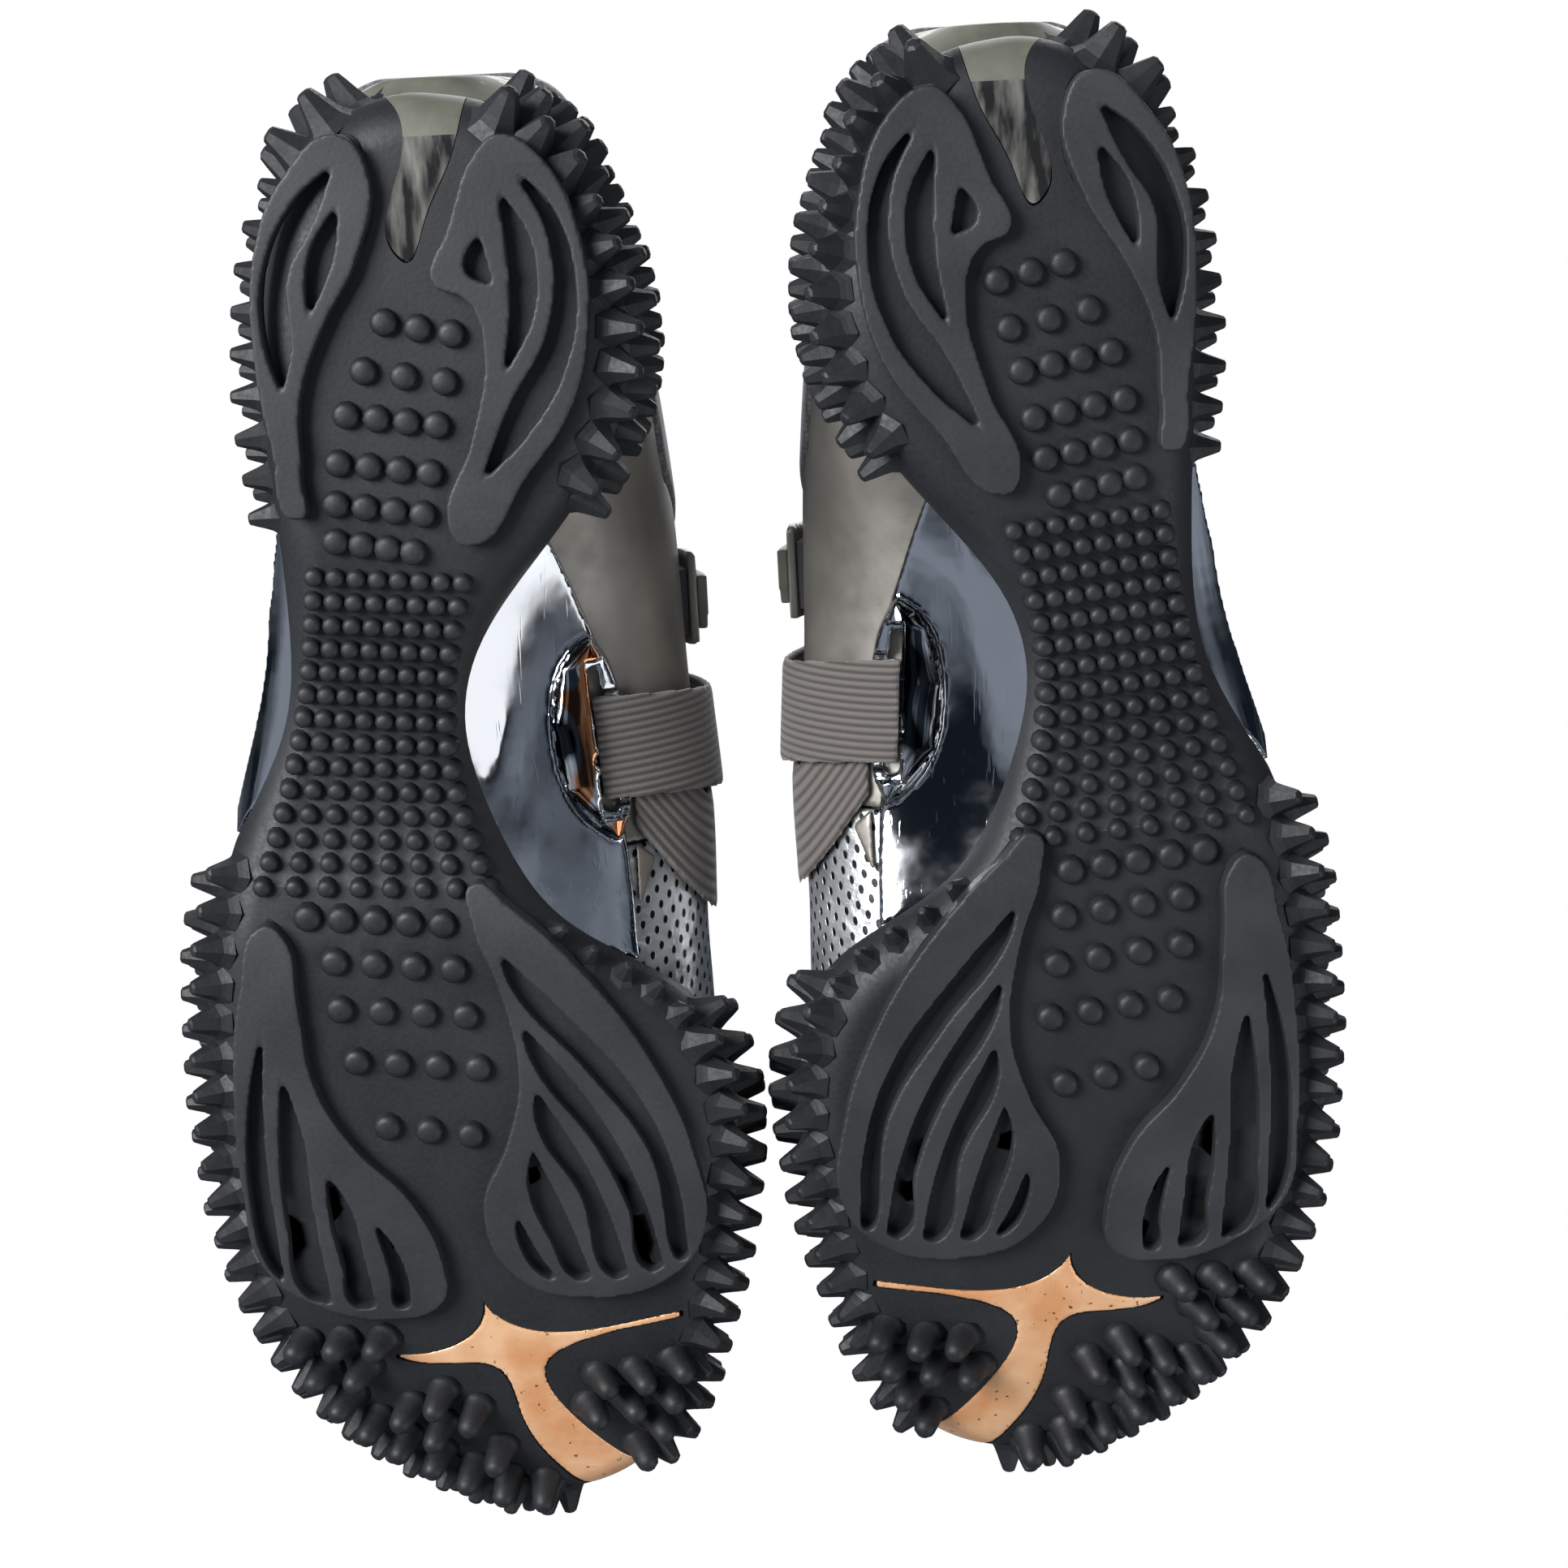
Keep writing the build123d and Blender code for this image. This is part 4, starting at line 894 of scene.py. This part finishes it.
class SHOES_OT_hard_trim(bpy.types.Operator):
    """Makes the plated shanks, the T plates, the heel windows and the inner pieces"""

    bl_idname = "shoes.hard_trim"
    bl_label = "Plated trim"

    def execute(self, context):
        s = settings()
        finishes = {
            # The T plate's copper tone is a painted peach reflection on chrome.
            "toe_plate": ("copper", "copper_plate"), "heel_window": ("window", "clear_plastic"),
            "shank_plate": ("chrome", "chrome_plastic"),
        }
        for side in SIDES:
            for node, (finish, slot) in finishes.items():
                work = node_mesh(f"{side}_{node}")
                looks = [material(finish)]
                if node == "toe_plate":
                    work = softened(f"{side}_{node}_work", work, s.plate_voxel * MM, 8)
                    to_shoe = side_matrix(side).inverted()
                    for face in work.faces:
                        flat = (to_shoe @ face.calc_center_median()).y < PLATE_FLAT_END
                        # Flat edge faces take the darker edge colour: a painted dark reflection on the bevel.
                        face.material_index = int(flat and -EDGE_TILT < face.normal.z < 0)
                    looks.append(material("plate edge painted reflection"))
                elif node == "heel_window":
                    # The soft clip laps over the window's rear end.
                    edge = side_matrix(side) @ Vector((0, s.clip_lap, 0))
                    bmesh.ops.bisect_plane(
                        work, geom=work.verts[:] + work.edges[:] + work.faces[:], dist=1e-6,
                        plane_co=edge, plane_no=(0, 1, 0),
                    )
                    for face in work.faces:
                        face.material_index = int(face.calc_center_median().y < edge.y)
                    looks.append(material("olive"))
                    shade(work, 30)
                else:
                    work = softened(f"{side}_{node}_work", work, s.trim_voxel * MM, 3)
                    self.dome_boss(work, side)
                    # The dome's chrome has painted reflections in its colour.
                    looks.append(material("boss"))
                make_piece(f"{side}_{node}_plated", work, f"{side}_shoe", looks, [f"{side}_{node}"])
            inner = {
                "heel_midsole": "foam", "forefoot_midsole": "foam", "insole_board": "board",
                "sock_liner": "knit", "heel_stiffener": "board", "toe_puff": "board", "hook_patch": "hooks",
            }
            for node, finish in inner.items():
                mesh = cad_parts[f"{side}_{node}"].data
                mesh.materials.clear()
                mesh.materials.append(material(finish))
        return {"FINISHED"}

    def dome_boss(self, work, side):
        """Swells the shank's underside into a lens round the band's slot, and marks its faces."""
        crown = settings().boss_crown * MM
        to_shoe = side_matrix(side).inverted()
        work.normal_update()
        first, last = BOSS_INNER[0][1], BOSS_INNER[-1][1]
        shares = {}
        for vertex in work.verts:
            place = to_shoe @ vertex.co
            if not first < place.y < last or vertex.normal.z > -UNDERSIDE:
                continue
            if SLOT_SIDE[0][1] < place.y < SLOT_SIDE[-1][1] and place.x > line_at(SLOT_SIDE, place.y):
                continue
            low, high = line_at(BOSS_INNER, place.y), line_at(BOSS_OUTER, place.y)
            share = 2 * (place.x - low) / max(high - low, 0.5) - 1
            if abs(share) < 1:
                length = math.sin(math.pi * (place.y - first) / (last - first))
                shares[vertex.index] = math.sqrt((1 - share * share) * length)
        for vertex in work.verts:
            if vertex.index in shares:
                vertex.co += vertex.normal * crown * shares[vertex.index]
        # The dome's faces take the chrome with painted reflections.
        for face in work.faces:
            face.material_index = int(all(vertex.index in shares for vertex in face.verts))


# ---------------------------------------------------------------- the sewn upper

class SHOES_OT_upper(bpy.types.Operator):
    """Makes the leather panels, the lining, the padded collar and tongue, the bands and the straps"""

    bl_idname = "shoes.upper"
    bl_label = "Sewn upper"

    def execute(self, context):
        s = settings()
        panels = {
            "vamp": ("perforated", "perforated_leather"), "inner_quarter": ("leather", "silver_leather"),
            "outer_quarter": ("leather", "silver_leather"), "heel_clip": ("olive", "olive_rubber"),
            "collar": ("knit", "collar_fabric"), "tongue": ("knit", "collar_fabric"),
            "lining": ("knit", "lining_fabric"), "instep_band": ("elastic", "elastic_webbing"),
            "vamp_band": ("elastic side", "elastic_webbing"), "band_anchor": ("leather", "silver_leather"),
            "ankle_strap": ("leather", "silver_leather"), "strap_anchor": ("leather", "silver_leather"),
            "strap_tip": ("olive", "olive_rubber"), "vamp_tab": ("leather", "silver_leather"),
        }
        for side in SIDES:
            for node, (finish, slot) in panels.items():
                size = 0.5 if node in ("strap_tip", "vamp_tab", "band_anchor") else s.voxel
                work = node_mesh(f"{side}_{node}")
                if node == "lining":
                    shade(work)
                else:
                    work = softened(f"{side}_{node}_work", work, size * MM, 4, s.kept_faces)
                looks = [material(f"elastic {side}" if finish == "elastic side" else finish)]
                if node == "heel_clip":
                    self.paint_clip(work, side)
                    looks += [material("rubber"), material("leather")]
                body = f"{side}_strap" if node in ("ankle_strap", "strap_tip") else f"{side}_shoe"
                piece = make_piece(f"{side}_{node}_sewn", work, body, looks, [f"{side}_{node}"])
        return {"FINISHED"}

    def paint_clip(self, work, side):
        """Gives the heel clip's lower sides to the rubber horns and its top to the leather."""
        s = settings()
        to_shoe = side_matrix(side).inverted()
        for face in work.faces:
            place = to_shoe @ face.calc_center_median()
            beside = abs(place.x - NOTCH_MIDDLE) > s.horn_gap + 0.12 * (place.z - 17)
            if place.z > s.clip_top:
                face.material_index = 2
            elif beside and place.z < s.horn_height:
                face.material_index = 1


# ---------------------------------------------------------------- the stage

class SHOES_OT_stage(bpy.types.Operator):
    """Makes the floor, the lamps, the background and the camera under the soles"""

    bl_idname = "shoes.stage"
    bl_label = "Stage"

    def execute(self, context):
        scene = context.scene
        scene.view_settings.view_transform = "Standard"
        self.make_floor()
        self.make_world(scene)
        self.make_lamps()
        self.make_camera(scene)
        return {"FINISHED"}

    def make_floor(self):
        """A pale floor that shows and catches shadows from above, and is clear from below."""
        work = bmesh.new()
        bmesh.ops.create_grid(work, x_segments=2, y_segments=2, size=4.0)
        bmesh.ops.translate(work, vec=(0, 0, -0.0004), verts=work.verts)
        mesh = bpy.data.meshes.new("floor")
        work.to_mesh(mesh)
        work.free()
        floor = bpy.data.objects.new("floor", mesh)
        bpy.context.scene.collection.objects.link(floor)
        surface, tree, shader = new_material("pale floor")
        shader.inputs["Base Color"].default_value = hex_colour("#EEEEEE")
        shader.inputs["Roughness"].default_value = 0.9
        clear = add_node(tree, "ShaderNodeBsdfTransparent").outputs[0]
        seen = add_node(tree, "ShaderNodeLightPath").outputs["Is Camera Ray"]
        back = add_node(tree, "ShaderNodeNewGeometry").outputs["Backfacing"]
        front = maths(tree, "SUBTRACT", 1.0, back)
        shown = maths(tree, "MULTIPLY", seen, front)
        mix = add_node(tree, "ShaderNodeMixShader", {0: shown, 1: clear, 2: shader.outputs[0]})
        tree.links.new(mix.outputs[0], tree.nodes["Material Output"].inputs["Surface"])
        mesh.materials.append(surface)

    def make_world(self, scene):
        """White to the camera, a dim mottled room in reflections, and a soft even fill otherwise."""
        world = bpy.data.worlds.new("studio")
        world.use_nodes = True
        tree = world.node_tree
        rays = add_node(tree, "ShaderNodeLightPath")
        clear = maths(tree, "MAXIMUM", rays.outputs["Is Camera Ray"], rays.outputs["Is Transmission Ray"])
        fill = add_node(tree, "ShaderNodeBackground", {"Color": (0.36, 0.37, 0.39, 1), "Strength": 1.0})
        clouds = add_node(tree, "ShaderNodeTexNoise", {"Scale": 2.6, "Detail": 3.0}).outputs["Fac"]
        tones = two_tone(tree, spread(tree, clouds, 0.44, 0.64), "#171D26", "#9299A3")
        room = add_node(tree, "ShaderNodeBackground", {"Color": tones, "Strength": 1.0})
        white = add_node(tree, "ShaderNodeBackground", {"Color": (1, 1, 1, 1), "Strength": 1.0})
        glossy = rays.outputs["Is Glossy Ray"]
        mirrored = add_node(tree, "ShaderNodeMixShader", {0: glossy, 1: fill.outputs[0], 2: room.outputs[0]})
        mix = add_node(tree, "ShaderNodeMixShader", {0: clear, 1: mirrored.outputs[0], 2: white.outputs[0]})
        output = next(node for node in tree.nodes if node.type == "OUTPUT_WORLD")
        tree.links.new(mix.outputs[0], output.inputs["Surface"])
        scene.world = world

    def make_lamps(self):
        """Soft lamps: a broad key under the heels' outer side, a weak one under the toes, one above."""
        for name, place, size, power in (
            ("key", (-0.62, -0.42, -0.62), 0.5, 15.0),
            ("low fill", (0.75, 0.5, -0.55), 0.8, 3.0),
            ("top", (0.2, -0.5, 1.1), 1.0, 10.0),
        ):
            lamp = bpy.data.lights.new(name, "AREA")
            lamp.size = size
            lamp.energy = power
            holder = bpy.data.objects.new(name, lamp)
            bpy.context.scene.collection.objects.link(holder)
            holder.location = place
            holder.rotation_euler = (-Vector(place)).to_track_quat("-Z", "Y").to_euler()

    def make_camera(self, scene):
        """Below the soles and a little behind the heels, looking up. Lengths are in metres."""
        tilt, roll, distance = math.radians(15), math.radians(2.9), 0.458
        view = Vector((0, math.sin(tilt), math.cos(tilt)))
        toes = Vector((0, math.cos(tilt), -math.sin(tilt)))
        across = Vector((1, 0, 0))
        right = math.cos(roll) * across + math.sin(roll) * toes
        up = math.sin(roll) * across - math.cos(roll) * toes
        aim = Vector((0.0065, -0.0137, 0))
        camera_data = bpy.data.cameras.new("camera")
        camera_data.lens = 55.53
        camera_data.sensor_width = 36
        camera_data.clip_start = 0.01
        camera = bpy.data.objects.new("camera", camera_data)
        scene.collection.objects.link(camera)
        turned = Matrix((right, up, -view)).transposed().to_4x4()
        camera.matrix_world = Matrix.Translation(aim - distance * view) @ turned
        scene.camera = camera


# ---------------------------------------------------------------- the panel and the run

STEPS = (SHOES_OT_stage, SHOES_OT_outsole, SHOES_OT_spikes, SHOES_OT_hard_trim, SHOES_OT_upper)


class SHOES_PT_panel(bpy.types.Panel):
    """Shows four of the sizes and a button for each step"""

    bl_label = "Shoes"
    bl_idname = "SHOES_PT_panel"
    bl_space_type = "VIEW_3D"
    bl_region_type = "UI"
    bl_category = "Shoes"

    def draw(self, context):
        s = context.scene.shoe_settings
        for name in ("spike_radius", "spike_length", "spike_pitch", "voxel"):
            self.layout.prop(s, name)
        for step in STEPS:
            self.layout.operator(step.bl_idname)


CLASSES = (ShoeSettings, *STEPS, SHOES_PT_panel)


def register():
    for cls in CLASSES:
        bpy.utils.register_class(cls)
    bpy.types.Scene.shoe_settings = PointerProperty(type=ShoeSettings)


def unregister():
    del bpy.types.Scene.shoe_settings
    for cls in reversed(CLASSES):
        bpy.utils.unregister_class(cls)


def main():
    register()
    for step in STEPS:
        group, name = step.bl_idname.split(".")
        getattr(getattr(bpy.ops, group), name)()


if __name__ == "__main__":
    main()
